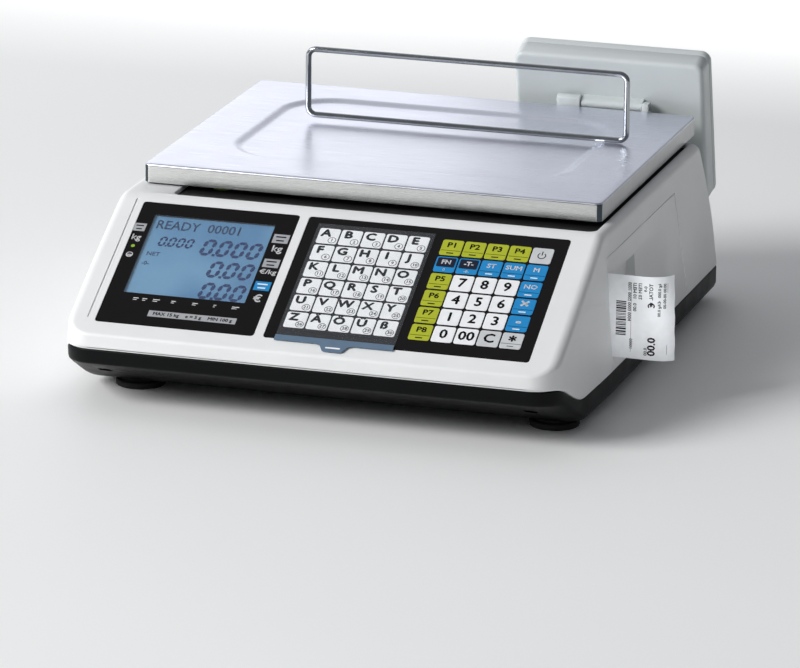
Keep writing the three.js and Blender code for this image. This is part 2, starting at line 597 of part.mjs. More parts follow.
function printerFrame() {
  const [left, right] = FRAME_X;
  const sheetLow = DECK_Z[1] - 0.5;
  const legs = [[117, -86], [117, 66], [164, 66], [164, -38]].map(
    ([x, y]) => rod(4, [x, y, FLOOR_TOP + GAP], [x, y, DECK_Z[0] + 1], 12));
  const deck = box(left, right, HEAD_WALL, FRAME_REAR, ...DECK_Z);
  const sideWall = box(left, left + 2.5, HEAD_WALL, FRAME_REAR, sheetLow, FRAME_TOP);
  const headWall = box(left, right - 1, HEAD_WALL, HEAD_WALL + 2, sheetLow, FRAME_TOP);
  const arbor = rod(ARBOR_R, [...idlerCentre, GEAR_Z[0] - 0.5], [...idlerCentre, DECK_Z[0] + 1], 12);
  const [near, far] = [LATCH.y + LATCH.hook + 1, LATCH.y + LATCH.hook + 11];
  const keeperFoot = box(right - 1, right + 2.6, near, far, ...DECK_Z);
  const keeper = box(right + 1, right + 2.6, near, far, sheetLow, LATCH.z1 + 4);
  const shaftHole = rod(2.5, [...pinionCentre, 20], [...pinionCentre, 40], 12);
  return cut(union(deck, sideWall, headWall, arbor, ...legs), shaftHole).add(keeperFoot).add(keeper);
}

function platenRoller() {
  const { x, y, r } = PLATEN;
  const sleeve = rod(r, [x, y, PAPER_Z[0] - 1], [x, y, PAPER_Z[1] + 1], 24);
  return sleeve.add(rod(ARBOR_R, [x, y, GEAR_Z[0] - 1], [x, y, FRAME_TOP], 12));
}

const gripBack = halfWidth(GRIP.z0) - GRIP.depth;
const gripBlock = box(gripBack - WALL, halfWidth(GRIP.z1) - WALL / 2,
  GRIP.y0 - GRIP.wall, GRIP.y1 + GRIP.wall, GRIP.z0 - GRIP.wall, GRIP.z1 + GRIP.wall);

function printerDoor() {
  const hingeY = hingePoint(0)[1];
  const slab = shell.intersect(doorSide(0, 0, 0, DOOR.bottom));
  const barrel = rod(WALL / 2 - 0.03, hingePoint(DOOR.bottom - 5), hingePoint(DOOR.top + 5), 16)
    .intersect(box(PLATEN.x - 25, FAR, hingeY - 5, hingeY + 5, DOOR.bottom, DOOR.top));
  const { x, y } = PLATEN;
  const lugs = [[31.5, 34.5], [101.5, 104.5]].map(([z0, z1]) => union(
    rod(5, [x, y, z0], [x, y, z1], 16), box(x, halfWidth(z0) - WALL / 2, y - 5, y + 5, z0, z1)));
  const pocket = box(gripBack, FAR, GRIP.y0, GRIP.y1, GRIP.z0, GRIP.z1);
  const latchSlot = box(gripBack - 10, FAR, LATCH.y - 1, LATCH.y + 5 + LATCH.travel + 1,
    LATCH.z0 - 0.5, LATCH.z1 + 0.5);
  const platenBore = rod(ARBOR_R + GAP, [x, y, 0], [x, y, TOP_Z], 12);
  const pinBore = rod(HINGE_PIN_R + GAP, hingePoint(0), hingePoint(TOP_Z), 12);
  return cut(union(slab, barrel, gripBlock, ...lugs), pocket, latchSlot, platenBore, pinBore);
}

function doorLatch() {
  const { y, z0, z1, reach, hook } = LATCH;
  const paddle = box(gripBack + GAP, gripBack + 4, GRIP.y0 + 2, GRIP.y0 + 16, GRIP.z0 + 1.5, z1 + 2);
  const stem = box(gripBack - reach, gripBack + 1, y, y + 5, z0, z1);
  return union(paddle, stem, box(gripBack - reach, gripBack - reach + 2.5, y, y + hook, z0, z1));
}

function thermalHead() {
  const { y, r } = PLATEN;
  const front = y - r - 1.6;
  const head = box(166, 180, front - 3.5, front, PAPER_Z[0], PAPER_Z[1]);
  return head.add(box(164, 176, front - 4, front - 3, PAPER_Z[0] + 5, PAPER_Z[1] - 5));
}

// A strip of paper on edge, following a plan curve.
function paperStrip(points, divisions) {
  const half = PAPER_SHEET / 2;
  const places = points.map(([x, y]) => new THREE.Vector3(x, y, 0));
  const curve = new THREE.CatmullRomCurve3(places, false, 'centripetal');
  const near = [];
  const far = [];
  for (let i = 0; i <= divisions; i += 1) {
    const at = curve.getPointAt(i / divisions);
    const along = curve.getTangentAt(i / divisions);
    near.push([at.x + along.y * half, at.y - along.x * half]);
    far.unshift([at.x - along.y * half, at.y + along.x * half]);
  }
  return plate([...near, ...far], ...PAPER_Z);
}

const nipY = PLATEN.y - PLATEN.r - 0.8;
const receiptPath = [[172, nipY], [184, nipY], [196, nipY - 0.3], [210, nipY - 0.4],
  [222, nipY + 2], [230, nipY + 8], [233, nipY + 17]];
const webPath = [[ROLL.x + ROLL.r + 0.7, ROLL.y], [168.2, -30], [PLATEN.x - PLATEN.r - 1.2, PLATEN.y + 4]];
const rollDisc = rod(20, [ROLL.x, ROLL.y, DECK_Z[1] + GAP], [ROLL.x, ROLL.y, PAPER_Z[0] - 1.2], 24);
const motorBody = rod(17.5, [...pinionCentre, DECK_Z[1] + 0.5], [...pinionCentre, 56], 24);
const motorShaft = rod(1.5, [...pinionCentre, GEAR_Z[0] - 0.5], [...pinionCentre, 35], 12);
const spindleStem = rod(ROLL.core - 1, [ROLL.x, ROLL.y, 35], [ROLL.x, ROLL.y, PAPER_Z[1] - 3], 16);
const springY = HEAD_WALL + 2.3;
const springStrip = box(120, 163, springY, springY + 0.7, 45, 90);
const springPad = box(160, 163, springY + 0.2, springY + 2.1, 45, 90);

add('printer_frame', printerFrame(), 0x6d7176, 0.5, 0.8);
add('thermal_head', thermalHead(), 0xa8894f, 0.4, 0.3);
add('head_spring', union(springStrip, springPad), STEEL, 0.3, 1);
add('platen_roller', platenRoller(), 0x2b2b2e, 0.8, 0);
add('platen_gear', gear([PLATEN.x, PLATEN.y], TEETH.platen, MESH_LINE, ARBOR_R + GAP), NYLON, 0.5, 0);
add('idler_gear', gear(idlerCentre, TEETH.idler, idlerPhase, ARBOR_R + GAP), NYLON, 0.5, 0);
add('motor_pinion', gear(pinionCentre, TEETH.pinion, pinionPhase, 1.8), 0xc9a24a, 0.4, 0.9);
add('stepper_motor', motorBody.add(motorShaft), 0x8f9296, 0.4, 0.9);
add('paper_roll', cut(rod(ROLL.r, [ROLL.x, ROLL.y, PAPER_Z[0]], [ROLL.x, ROLL.y, PAPER_Z[1]], 32),
  rod(ROLL.core, [ROLL.x, ROLL.y, 0], [ROLL.x, ROLL.y, 120], 16)), PAPER, 0.8, 0);
add('roll_spindle', rollDisc.add(spindleStem), 0x3f4246, 0.5, 0);
add('paper_web', paperStrip(webPath, 8), PAPER, 0.8, 0);
add('receipt_strip', paperStrip(receiptPath, 18), PAPER, 0.8, 0);
add('printer_door', printerDoor(), WHITE, 0.45, 0);
add('door_latch', doorLatch(), 0x9aa0a4, 0.5, 0);
const hingePin = rod(HINGE_PIN_R, hingePoint(DOOR.bottom - 5.4), hingePoint(DOOR.top + 6.5), 10);
add('door_hinge_pin', hingePin, STEEL, 0.3, 1);

// ---------------------------------------------------------------- customer display
// Frame of the display: the origin is on its tilt axis, X across, Y away from the operator.
const displayFrame = new THREE.Matrix4().makeRotationX(DISPLAY_TILT).setPosition(
  DISPLAY.x, TILT_AXIS.y, TILT_AXIS.z);
const display = new THREE.Group();
display.applyMatrix4(displayFrame);
scale.add(display);

// A shell level by level behind the face: each level is its depth and how far its outline shrinks.
function standing(levels, inset = 0) {
  const { half, low, high, corner } = DISPLAY;
  const toDisplay = new THREE.Matrix4().makeBasis(
    new THREE.Vector3(1, 0, 0), new THREE.Vector3(0, 0, 1), new THREE.Vector3(0, -1, 0));
  const stacked = levels.map(([depth, shrink]) => {
    const edge = shrink + inset;
    const radius = Math.max(corner - edge, 1.5);
    const outline = roundedOutline(-half + edge, half - edge, low + edge, high - edge, radius, 4);
    return [-FACE_OFFSET - depth, outline];
  });
  return loft(stacked.reverse(), toDisplay);
}

const tiltRod = (radius, x0, x1, sides) => rod(radius, [x0, 0, 0], [x1, 0, 0], sides);

function displayFront() {
  const { split, wall } = DISPLAY;
  const [x0, x1] = LUG_X.map((x) => x - DISPLAY.x);
  const outer = standing([[0, 3.2], [0.8, 1.9], [2.6, 1], [split, 0.4]]);
  const hollow = standing([[wall, 1.6], [split + 1, 0.4]], wall);
  const lug = union(tiltRod(LUG_R, x0, x1, 16), box(x0, x1, 0, FACE_OFFSET + 1, -LUG_R, LUG_R));
  return cut(union(outer.subtract(hollow), lug), tiltRod(TILT_PIN_R + GAP, -DISPLAY.half, DISPLAY.half, 12));
}

function displayRear() {
  const { split, depth, wall } = DISPLAY;
  const { half, low, high } = DISPLAY_WINDOW;
  const outer = standing([[split + GAP, 0.4], [depth - 4, 0], [depth - 1.2, 1], [depth, 3]]);
  const hollow = standing([[split - 1, 0.4], [depth - wall, 1.6]], wall);
  return cut(outer, hollow, box(-half, half, split, depth * 2, low, high));
}

function displayGlass() {
  const { half, low, high } = DISPLAY_WINDOW;
  const back = FACE_OFFSET + DISPLAY.depth - GAP;
  return box(-half + 0.4, half - 0.4, back - 2, back, low + 0.4, high - 0.4);
}

function customerBoard() {
  const y = FACE_OFFSET + DISPLAY.split - 4;
  const { half, low, high } = DISPLAY_WINDOW;
  const board = box(-half + 2, half - 2, y, y + 1.6, low - 4, high - 2);
  return board.add(box(-half + 4, half - 4, y + 1.4, y + 7, low + 2, high - 4));
}

// An upright plate on the rear wall: a tall knuckle at one end of the lug, a low one at the other.
function displayBracket() {
  const { y, z } = TILT_AXIS;
  const [foot, root] = [64, 88];
  const block = profile([[rearY(foot) + GAP, foot], [rearY(foot) + 4.5, foot], [y + 3.5, z - 20],
    [y + 3.5, z + 4], [y + 2, z + 6], [y - 3, z + 6], [y - 5, z + 4], [y - 5, z - 15], [y - 1, z - 20],
    [rearY(root) + 3, root]], ...BRACKET_X);
  const slot = box(LUG_X[0] - 0.4, LUG_X[1] + 0.4, y - 20, y + 20, z - 8, z + 20);
  const lowered = box(LUG_X[1], BRACKET_X[1] + 1, y - 20, y + 20, z + LUG_R, z + 20);
  return cut(block, slot, lowered, onTiltAxis(TILT_PIN_R + GAP, BRACKET_X[0] - 10, BRACKET_X[1] + 10));
}

// A rod along the display's tilt axis.
function onTiltAxis(radius, x0, x1) {
  return rod(radius, [x0, TILT_AXIS.y, TILT_AXIS.z], [x1, TILT_AXIS.y, TILT_AXIS.z], 12);
}

add('display_front_cover', displayFront(), DISPLAY_GREY, 0.45, 0, display);
add('display_rear_cover', displayRear(), DISPLAY_GREY, 0.45, 0, display);
makeClear(add('display_glass', displayGlass(), 0x2a2f36, 0.1, 0, display), 0.5);
add('customer_board', customerBoard(), BOARD, 0.6, 0, display);
add('display_bracket', displayBracket(), DISPLAY_GREY, 0.45, 0);
add('tilt_pin', onTiltAxis(TILT_PIN_R, BRACKET_X[0] - 1, BRACKET_X[1] + 1), STEEL, 0.3, 1);

// ---------------------------------------------------------------- origin
scale.updateMatrixWorld(true);
const bounds = new THREE.Box3().setFromObject(scale);
const middle = bounds.getCenter(new THREE.Vector3());
scale.position.set(-middle.x, -middle.y, -bounds.min.z);

export default scale;
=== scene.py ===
"""Looks of a countertop price scale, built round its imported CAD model.

Lengths are millimetres in the design's own axes: X across from the pan's middle, Y towards the back,
Z up from the feet. at() and DESIGN turn them into the frame's metres. On the sloped panel, and under
PANEL, Y runs up the slope to 0 at its upper edge and Z stands out of it. Floor and lights are in metres.
"""
import math
import random

import bmesh
import bpy
from mathutils import Matrix, Vector


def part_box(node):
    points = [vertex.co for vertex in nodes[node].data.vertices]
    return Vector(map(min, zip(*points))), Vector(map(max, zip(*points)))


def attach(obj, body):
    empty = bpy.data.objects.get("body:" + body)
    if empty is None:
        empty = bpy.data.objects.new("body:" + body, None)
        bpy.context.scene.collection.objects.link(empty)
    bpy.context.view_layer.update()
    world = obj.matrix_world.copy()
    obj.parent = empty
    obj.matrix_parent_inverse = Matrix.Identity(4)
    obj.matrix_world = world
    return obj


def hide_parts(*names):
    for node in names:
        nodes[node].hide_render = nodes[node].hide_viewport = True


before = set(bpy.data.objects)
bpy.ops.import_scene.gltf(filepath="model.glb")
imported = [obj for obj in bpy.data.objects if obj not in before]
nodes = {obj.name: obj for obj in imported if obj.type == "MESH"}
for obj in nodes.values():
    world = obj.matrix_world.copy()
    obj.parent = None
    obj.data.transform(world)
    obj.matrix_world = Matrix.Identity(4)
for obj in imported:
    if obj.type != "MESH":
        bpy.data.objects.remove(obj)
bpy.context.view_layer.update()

MM = 0.001
pan_low, pan_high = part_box("weighing_pan")
window_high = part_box("lcd_window")[1]
PAN_FRONT = -74.4
ORIGIN = Vector(((pan_low.x + pan_high.x) / 2, pan_low.y - PAN_FRONT * MM, 0))
SLOPE = math.radians(29.5)
WINDOW_THICK = 1.5
WINDOW_TOP = Vector((ORIGIN.x, window_high.y - WINDOW_THICK * MM * math.sin(SLOPE), window_high.z))

DESIGN = Matrix.Translation(ORIGIN) @ Matrix.Scale(MM, 4)
PANEL = Matrix.Translation(WINDOW_TOP) @ Matrix.Rotation(SLOPE, 4, "X") @ Matrix.Scale(MM, 4)
ON_PANEL = DESIGN.inverted() @ PANEL


def at(x, y, z):
    return DESIGN @ Vector((x, y, z))


# ------------------------------------------------------------------ materials
def linear(red, green, blue):
    """A colour given as 0 to 255 screen values, as linear light."""
    def channel(value):
        value /= 255
        return value / 12.92 if value <= 0.04045 else ((value + 0.055) / 1.055) ** 2.4
    return (channel(red), channel(green), channel(blue), 1.0)


def fill_ramp(node, stops):
    """Sets a colour ramp's stops, each a place and a colour."""
    while len(node.color_ramp.elements) < len(stops):
        node.color_ramp.elements.new(0.5)
    for element, (place, colour) in zip(node.color_ramp.elements, stops):
        element.position = place
        element.color = colour


class Shade:
    """A node material built in steps round one Principled shader."""

    def __init__(self, name, rough=0.5, metal=0.0, **sockets):
        self.mat = bpy.data.materials.new(name)
        self.mat.use_nodes = True
        self.nodes = self.mat.node_tree.nodes
        self.links = self.mat.node_tree.links
        self.shader = self.nodes["Principled BSDF"]
        self.set("Roughness", rough)
        self.set("Metallic", metal)
        for key, value in sockets.items():
            self.set(key.replace("_", " "), value)
        self.coords = self.nodes.new("ShaderNodeTexCoord")
        self.height = None

    def set(self, socket, value):
        self.shader.inputs[socket].default_value = value

    def noise(self, size_mm, detail=2.0, stretch=(1, 1, 1)):
        """Noise whose grains are about size_mm across, drawn out along an axis by stretch."""
        mapping = self.nodes.new("ShaderNodeMapping")
        mapping.inputs["Scale"].default_value = [s * 1000 / size_mm for s in stretch]
        noise = self.nodes.new("ShaderNodeTexNoise")
        noise.inputs["Scale"].default_value = 1.0
        noise.inputs["Detail"].default_value = detail
        self.links.new(self.coords.outputs["Object"], mapping.inputs["Vector"])
        self.links.new(mapping.outputs["Vector"], noise.inputs["Vector"])
        return noise.outputs["Fac"]

    def ramp(self, fac, stops):
        node = self.nodes.new("ShaderNodeValToRGB")
        fill_ramp(node, stops)
        self.links.new(fac, node.inputs["Fac"])
        return node.outputs["Color"]

    def colour(self, fac, dark, light, low=0.3, high=0.7):
        self.links.new(self.ramp(fac, [(low, dark), (high, light)]), self.shader.inputs["Base Color"])
        return self

    def roughness(self, fac, low, high):
        node = self.nodes.new("ShaderNodeMapRange")
        node.inputs["From Min"].default_value = 0.3
        node.inputs["From Max"].default_value = 0.7
        node.inputs["To Min"].default_value = low
        node.inputs["To Max"].default_value = high
        self.links.new(fac, node.inputs["Value"])
        self.links.new(node.outputs["Result"], self.shader.inputs["Roughness"])
        return self

    def bump(self, fac, height_mm, strength=1.0):
        node = self.nodes.new("ShaderNodeBump")
        node.inputs["Distance"].default_value = height_mm * MM
        node.inputs["Strength"].default_value = strength
        self.links.new(fac, node.inputs["Height"])
        if self.height is not None:
            self.links.new(self.height, node.inputs["Normal"])
        self.height = node.outputs["Normal"]
        self.links.new(self.height, self.shader.inputs["Normal"])
        return self


def tint(screen, factor):
    """A screen colour as linear light, darker or lighter by a factor."""
    red, green, blue, alpha = linear(*screen)
    return (red * factor, green * factor, blue * factor, alpha)


def moulded(name, colour, rough, grain=0.5, height=0.03, gloss=0.5):
    """Spark-eroded moulded plastic: a fine even grain and faint patches of handling."""
    shade = Shade(name, rough, Specular_IOR_Level=gloss)
    shade.colour(shade.noise(60, 3), tint(colour, 0.96), tint(colour, 1.02))
    shade.roughness(shade.noise(18, 4), rough - 0.04, rough + 0.06)
    shade.bump(shade.noise(grain, 2), height, 0.5)
    return shade.mat


def brushed(name, colour, rough, stretch=(0.02, 1, 1), size=0.6, height=0.012, **sockets):
    shade = Shade(name, rough, 1.0, **sockets)
    lines = shade.noise(size, 3, stretch)
    shade.colour(shade.noise(90, 3, (0.35, 1, 1)), tint(colour, 0.93), tint(colour, 1.03))
    shade.roughness(lines, rough - 0.05, rough + 0.09)
    shade.bump(lines, height, 0.5)
    return shade.mat


def polished(name, colour, rough):
    shade = Shade(name, rough, 1.0)
    shade.colour(shade.noise(30, 2), tint(colour, 0.95), tint(colour, 1.02))
    shade.roughness(shade.noise(6, 3), rough, rough + 0.05)
    return shade.mat


def printed(name, colour, rough=0.45, gloss=0.3):
    shade = Shade(name, rough, Specular_IOR_Level=gloss)
    shade.colour(shade.noise(7, 3), tint(colour, 0.95), tint(colour, 1.03))
    shade.bump(shade.noise(0.35, 2), 0.006, 0.35)
    return shade.mat


def paper(name, colour):
    shade = Shade(name, 0.75)
    shade.colour(shade.noise(5, 5), tint(colour, 0.96), tint(colour, 1.02))
    shade.bump(shade.noise(0.25, 4), 0.02, 0.4)
    return shade.mat


def clear(name, colour, alpha, rough=0.06):
    shade = Shade(name, rough, Alpha=alpha)
    shade.colour(shade.noise(40, 2), tint(colour, 0.97), tint(colour, 1.03))
    return shade.mat


def circuit(name):
    shade = Shade(name, 0.4)
    traces = shade.noise(1.6, 0, (1, 0.08, 1))
    shade.colour(traces, linear(14, 74, 38), linear(38, 122, 64), 0.49, 0.53)
    shade.bump(traces, 0.03, 0.5)
    return shade.mat


def liquid_crystal(name):
    """Back-lit panel: cool blue, a little brighter in soft random patches."""
    shade = Shade(name, 0.4, Specular_IOR_Level=0.1)
    patches = shade.noise(55, 1)
    deep, pale = linear(84, 128, 166), linear(108, 150, 182)
    shade.colour(patches, deep, pale, 0.35, 0.65)
    glow = shade.ramp(patches, [(0.35, deep), (0.65, pale)])
    shade.links.new(glow, shade.shader.inputs["Emission Color"])
    shade.set("Emission Strength", 0.08)
    shade.bump(shade.noise(0.3, 0), 0.004, 0.3)
    return shade.mat


WHITE = (234, 235, 235)
BLACK = (15, 16, 17)
GREY = (208, 214, 214)
mats = {
    "white": moulded("abs_white", WHITE, 0.42),
    "black": moulded("abs_black", BLACK, 0.38, 0.7, 0.04, 0.08),
    "cover": moulded("abs_black_cover", (16, 15, 16), 0.6, 0.7, 0.05),
    "grey": moulded("abs_grey", GREY, 0.42),
    "slate": moulded("latch_slate", (128, 134, 136), 0.45),
    "rubber": moulded("rubber_black", (26, 26, 27), 0.85, 1.2, 0.08),
    "bezel": printed("bezel_black", (22, 20, 21), 0.3, 0.08),
    "overlay": printed("overlay_black", (24, 22, 23), 0.4, 0.08),
    "steel": brushed("pan_steel", (226, 228, 240), 0.3),
    "rim": brushed("rim_steel", (218, 219, 217), 0.24),
    # rim_side and corner are darker copies of the rim steel: painted shade on the side rims and a painted dark
    # reflection on the rounded corners.
    "rim_side": brushed("rim_side_painted_shade_steel", (170, 172, 172), 0.32, (1, 1, 0.06), 0.9, 0.03),
    "corner": polished("rim_corner_painted_reflection", (70, 78, 84), 0.2),
    "chrome": polished("wire_chrome", (176, 180, 184), 0.09),
    "zinc": brushed("zinc_steel", (186, 188, 190), 0.4, (1, 1, 0.1)),
    "alloy": brushed("cell_alloy", (190, 192, 196), 0.35),
    "brass": polished("pinion_brass", (206, 164, 86), 0.25),
    "nylon": moulded("gear_nylon", (228, 222, 204), 0.5, 0.8),
    "iron": moulded("winding_varnish", (104, 78, 44), 0.5, 1.5, 0.15),
    "ceramic": moulded("head_ceramic", (178, 146, 96), 0.35),
    "pcb": circuit("circuit_board"),
    "lcd": liquid_crystal("liquid_crystal"),
    "ink": printed("ink_navy", (24, 44, 96), 0.5, 0.1),
    "ink_thin": printed("ink_faint_navy", (58, 84, 128), 0.5, 0.1),
    "paper": paper("thermal_paper", (240, 242, 245)),
    "print": printed("print_black", (34, 36, 42), 0.7, 0.1),
    "legend_dark": printed("legend_dark", (18, 18, 22), 0.5, 0.1),
    "lamp_green": printed("lamp_green", (150, 190, 60), 0.3),
    # strip_blue: a tinted strip whose blue-grey also holds a painted reflection.
    "strip_blue": printed("strip_blue", (98, 120, 142), 0.3),
    "glass": clear("window_clear", (200, 214, 226), 0.05),
    "film": clear("film_clear", (225, 232, 240), 0.03, 0.2),
    "smoke": clear("window_smoke", (30, 36, 44), 0.45),
    "vial": clear("vial_green", (170, 205, 90), 0.8),
}

PRINTS = {"key_white": (243, 244, 246), "key_grey": (205, 207, 209), "key_green": (178, 186, 44),
          "key_blue": (28, 138, 202), "key_navy": (14, 20, 44), "legend_white": (240, 241, 243),
          "label_grey": (168, 170, 174)}
mats.update({name: printed(name, colour) for name, colour in PRINTS.items()})

NODE_MATERIALS = {
    "cover": ["dust_cover"],
    "black": ["mains_inlet", "interface_ports", "battery", "battery_cover", "roll_spindle"],
    "rubber": ["platen_roller", *[f"pan_stud_{i}" for i in range(1, 5)]],
    "alloy": ["pan_spider", "load_cell", "load_cell_base_spacer", "load_cell_top_spacer"],
    "zinc": [*[f"overload_stop_{i}" for i in range(1, 5)], "head_spring", "door_hinge_pin", "tilt_pin",
             "stepper_motor", "printer_frame"],
    "pcb": ["keypad_board", "main_board", "power_board", "customer_board"],
    "iron": ["transformer"],
    "ceramic": ["thermal_head"],
    "nylon": ["platen_gear", "idler_gear"],
    "brass": ["motor_pinion"],
    "paper": ["paper_roll", "paper_web"],
    "slate": ["door_latch"],
    "vial": ["level_vial"],
}
for key, names in NODE_MATERIALS.items():
    for name in names:
        nodes[name].data.materials.clear()
        nodes[name].data.materials.append(mats[key])


# ------------------------------------------------------------------ mesh helpers
def linked(name, data):
    """A new object of that data, put into the scene."""
    obj = bpy.data.objects.new(name, data)
    bpy.context.scene.collection.objects.link(obj)
    return obj


def applied(obj):
    """The mesh that an object's modifiers, or a text's letters, come to."""
    return bpy.data.meshes.new_from_object(obj.evaluated_get(bpy.context.evaluated_depsgraph_get()))


def new_object(name, mesh, material, body):
    obj = linked(name, mesh)
    mesh.materials.clear()
    mesh.materials.append(mats[material])
    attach(obj, body)
    return obj


def finish_mesh(bm, name, matrix, smooth_degrees=35):
    bm.transform(matrix)
    bmesh.ops.recalc_face_normals(bm, faces=bm.faces)
    mesh = bpy.data.meshes.new(name)
    bm.to_mesh(mesh)
    bm.free()
    mesh.shade_smooth()
    mesh.set_sharp_from_angle(angle=math.radians(smooth_degrees))
    return mesh


def solid(bm, name, matrix, material, body, smooth_degrees=35):
    """A visible piece made of what bm holds."""
    return new_object(name, finish_mesh(bm, name, matrix, smooth_degrees), material, body)


def shrunk(bounds, inset):
    """A rectangle, x0, x1, y0, y1, drawn in by that much on every side."""
    x0, x1, y0, y1 = bounds
    return x0 + inset, x1 - inset, y0 + inset, y1 - inset


def rectangle(x0, x1, y0, y1):
    return [(x0, y0), (x1, y0), (x1, y1), (x0, y1)]


def rounded(x0, x1, y0, y1, radius, steps=5):
    """The outline of a rectangle with round corners, anticlockwise."""
    centres = [(x1 - radius, y0 + radius, -90), (x1 - radius, y1 - radius, 0),
               (x0 + radius, y1 - radius, 90), (x0 + radius, y0 + radius, 180)]
    points = []
    for cx, cy, start in centres:
        for i in range(steps + 1):
            angle = math.radians(start + 90 * i / steps)
            points.append((cx + radius * math.cos(angle), cy + radius * math.sin(angle)))
    return points


def add_rings(bm, rings, closed_ends=True, wrap=False):
    """Joins rings of equal point counts with quads; the ends are capped, or the last joins the first."""
    loops = [[bm.verts.new(p) for p in ring] for ring in rings]
    pairs = list(zip(loops, loops[1:] + loops[:1] if wrap else loops[1:]))
    for low, high in pairs:
        count = len(low)
        for i in range(count):
            j = (i + 1) % count
            bm.faces.new((low[i], low[j], high[j], high[i]))
    if closed_ends and not wrap:
        bm.faces.new(list(reversed(loops[0])))
        bm.faces.new(loops[-1])
    return loops


def slab(bm, outline, z0, z1, edge=0.0):
    """A flat plate of that outline, with its upper rim broken by a small chamfer."""
    if not edge:
        add_rings(bm, [[(x, y, z) for x, y in outline] for z in (z0, z1)])
        return
    cx = sum(x for x, y in outline) / len(outline)
    cy = sum(y for x, y in outline) / len(outline)
    half_x = max(abs(x - cx) for x, y in outline)
    half_y = max(abs(y - cy) for x, y in outline)
    top = [(cx + (x - cx) * (1 - edge / half_x), cy + (y - cy) * (1 - edge / half_y), z1)
           for x, y in outline]
    add_rings(bm, [[(x, y, z0) for x, y in outline], [(x, y, z1 - edge) for x, y in outline], top])


def plate(outline, z0, z1, edge=0.0):
    """A slab by itself."""
    bm = bmesh.new()
    slab(bm, outline, z0, z1, edge)
    return bm


def ringed(rings, wrap=False):
    """What add_rings() makes, by itself."""
    bm = bmesh.new()
    add_rings(bm, rings, wrap=wrap)
    return bm


def frame_slab(bm, outer, inner, z0, z1):
    """A plate with one hole. Both outlines have the same number of points."""
    rings = [[(x, y, z0) for x, y in outer], [(x, y, z1) for x, y in outer],
             [(x, y, z1) for x, y in inner], [(x, y, z0) for x, y in inner]]
    add_rings(bm, rings, wrap=True)


def refined(node, name, material, body, edge_width, steps=3, least=20, smooth=35):
    """A copy of a CAD node with its flat faces merged and its edges rounded, which stands for the node.
    edge_width says how wide, in millimetres, the rounding of an edge is, from its middle in design axes."""
    bm = bmesh.new()
    bm.from_mesh(nodes[node].data)
    bmesh.ops.remove_doubles(bm, verts=bm.verts, dist=2e-6)
    bmesh.ops.dissolve_limit(bm, angle_limit=math.radians(0.4), verts=bm.verts, edges=bm.edges)
    bm.normal_update()
    inverse = DESIGN.inverted()
    layer = bm.edges.layers.float.new("bevel_weight_edge")
    widest = 0.0
    widths = {}
    for edge in bm.edges:
        if len(edge.link_faces) == 2 and edge.calc_face_angle(0) > math.radians(least):
            middle = inverse @ ((edge.verts[0].co + edge.verts[1].co) / 2)
            widths[edge] = edge_width(middle)
            widest = max(widest, widths[edge])
    for edge, width in widths.items():
        edge[layer] = width / widest if widest else 0
    mesh = bpy.data.meshes.new(name + "_raw")
    bm.to_mesh(mesh)
    bm.free()
    obj = linked(name, mesh)
    bevel = obj.modifiers.new("round", "BEVEL")
    bevel.limit_method = "WEIGHT"
    bevel.width = widest * MM
    bevel.segments = steps
    bevel.use_clamp_overlap = False
    bevel.miter_outer = "MITER_ARC"
    final = applied(obj)
    bpy.data.objects.remove(obj)
    final.name = name
    final.shade_smooth()
    final.set_sharp_from_angle(angle=math.radians(smooth))
    piece = new_object(name, final, material, body)
    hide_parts(node)
    return piece


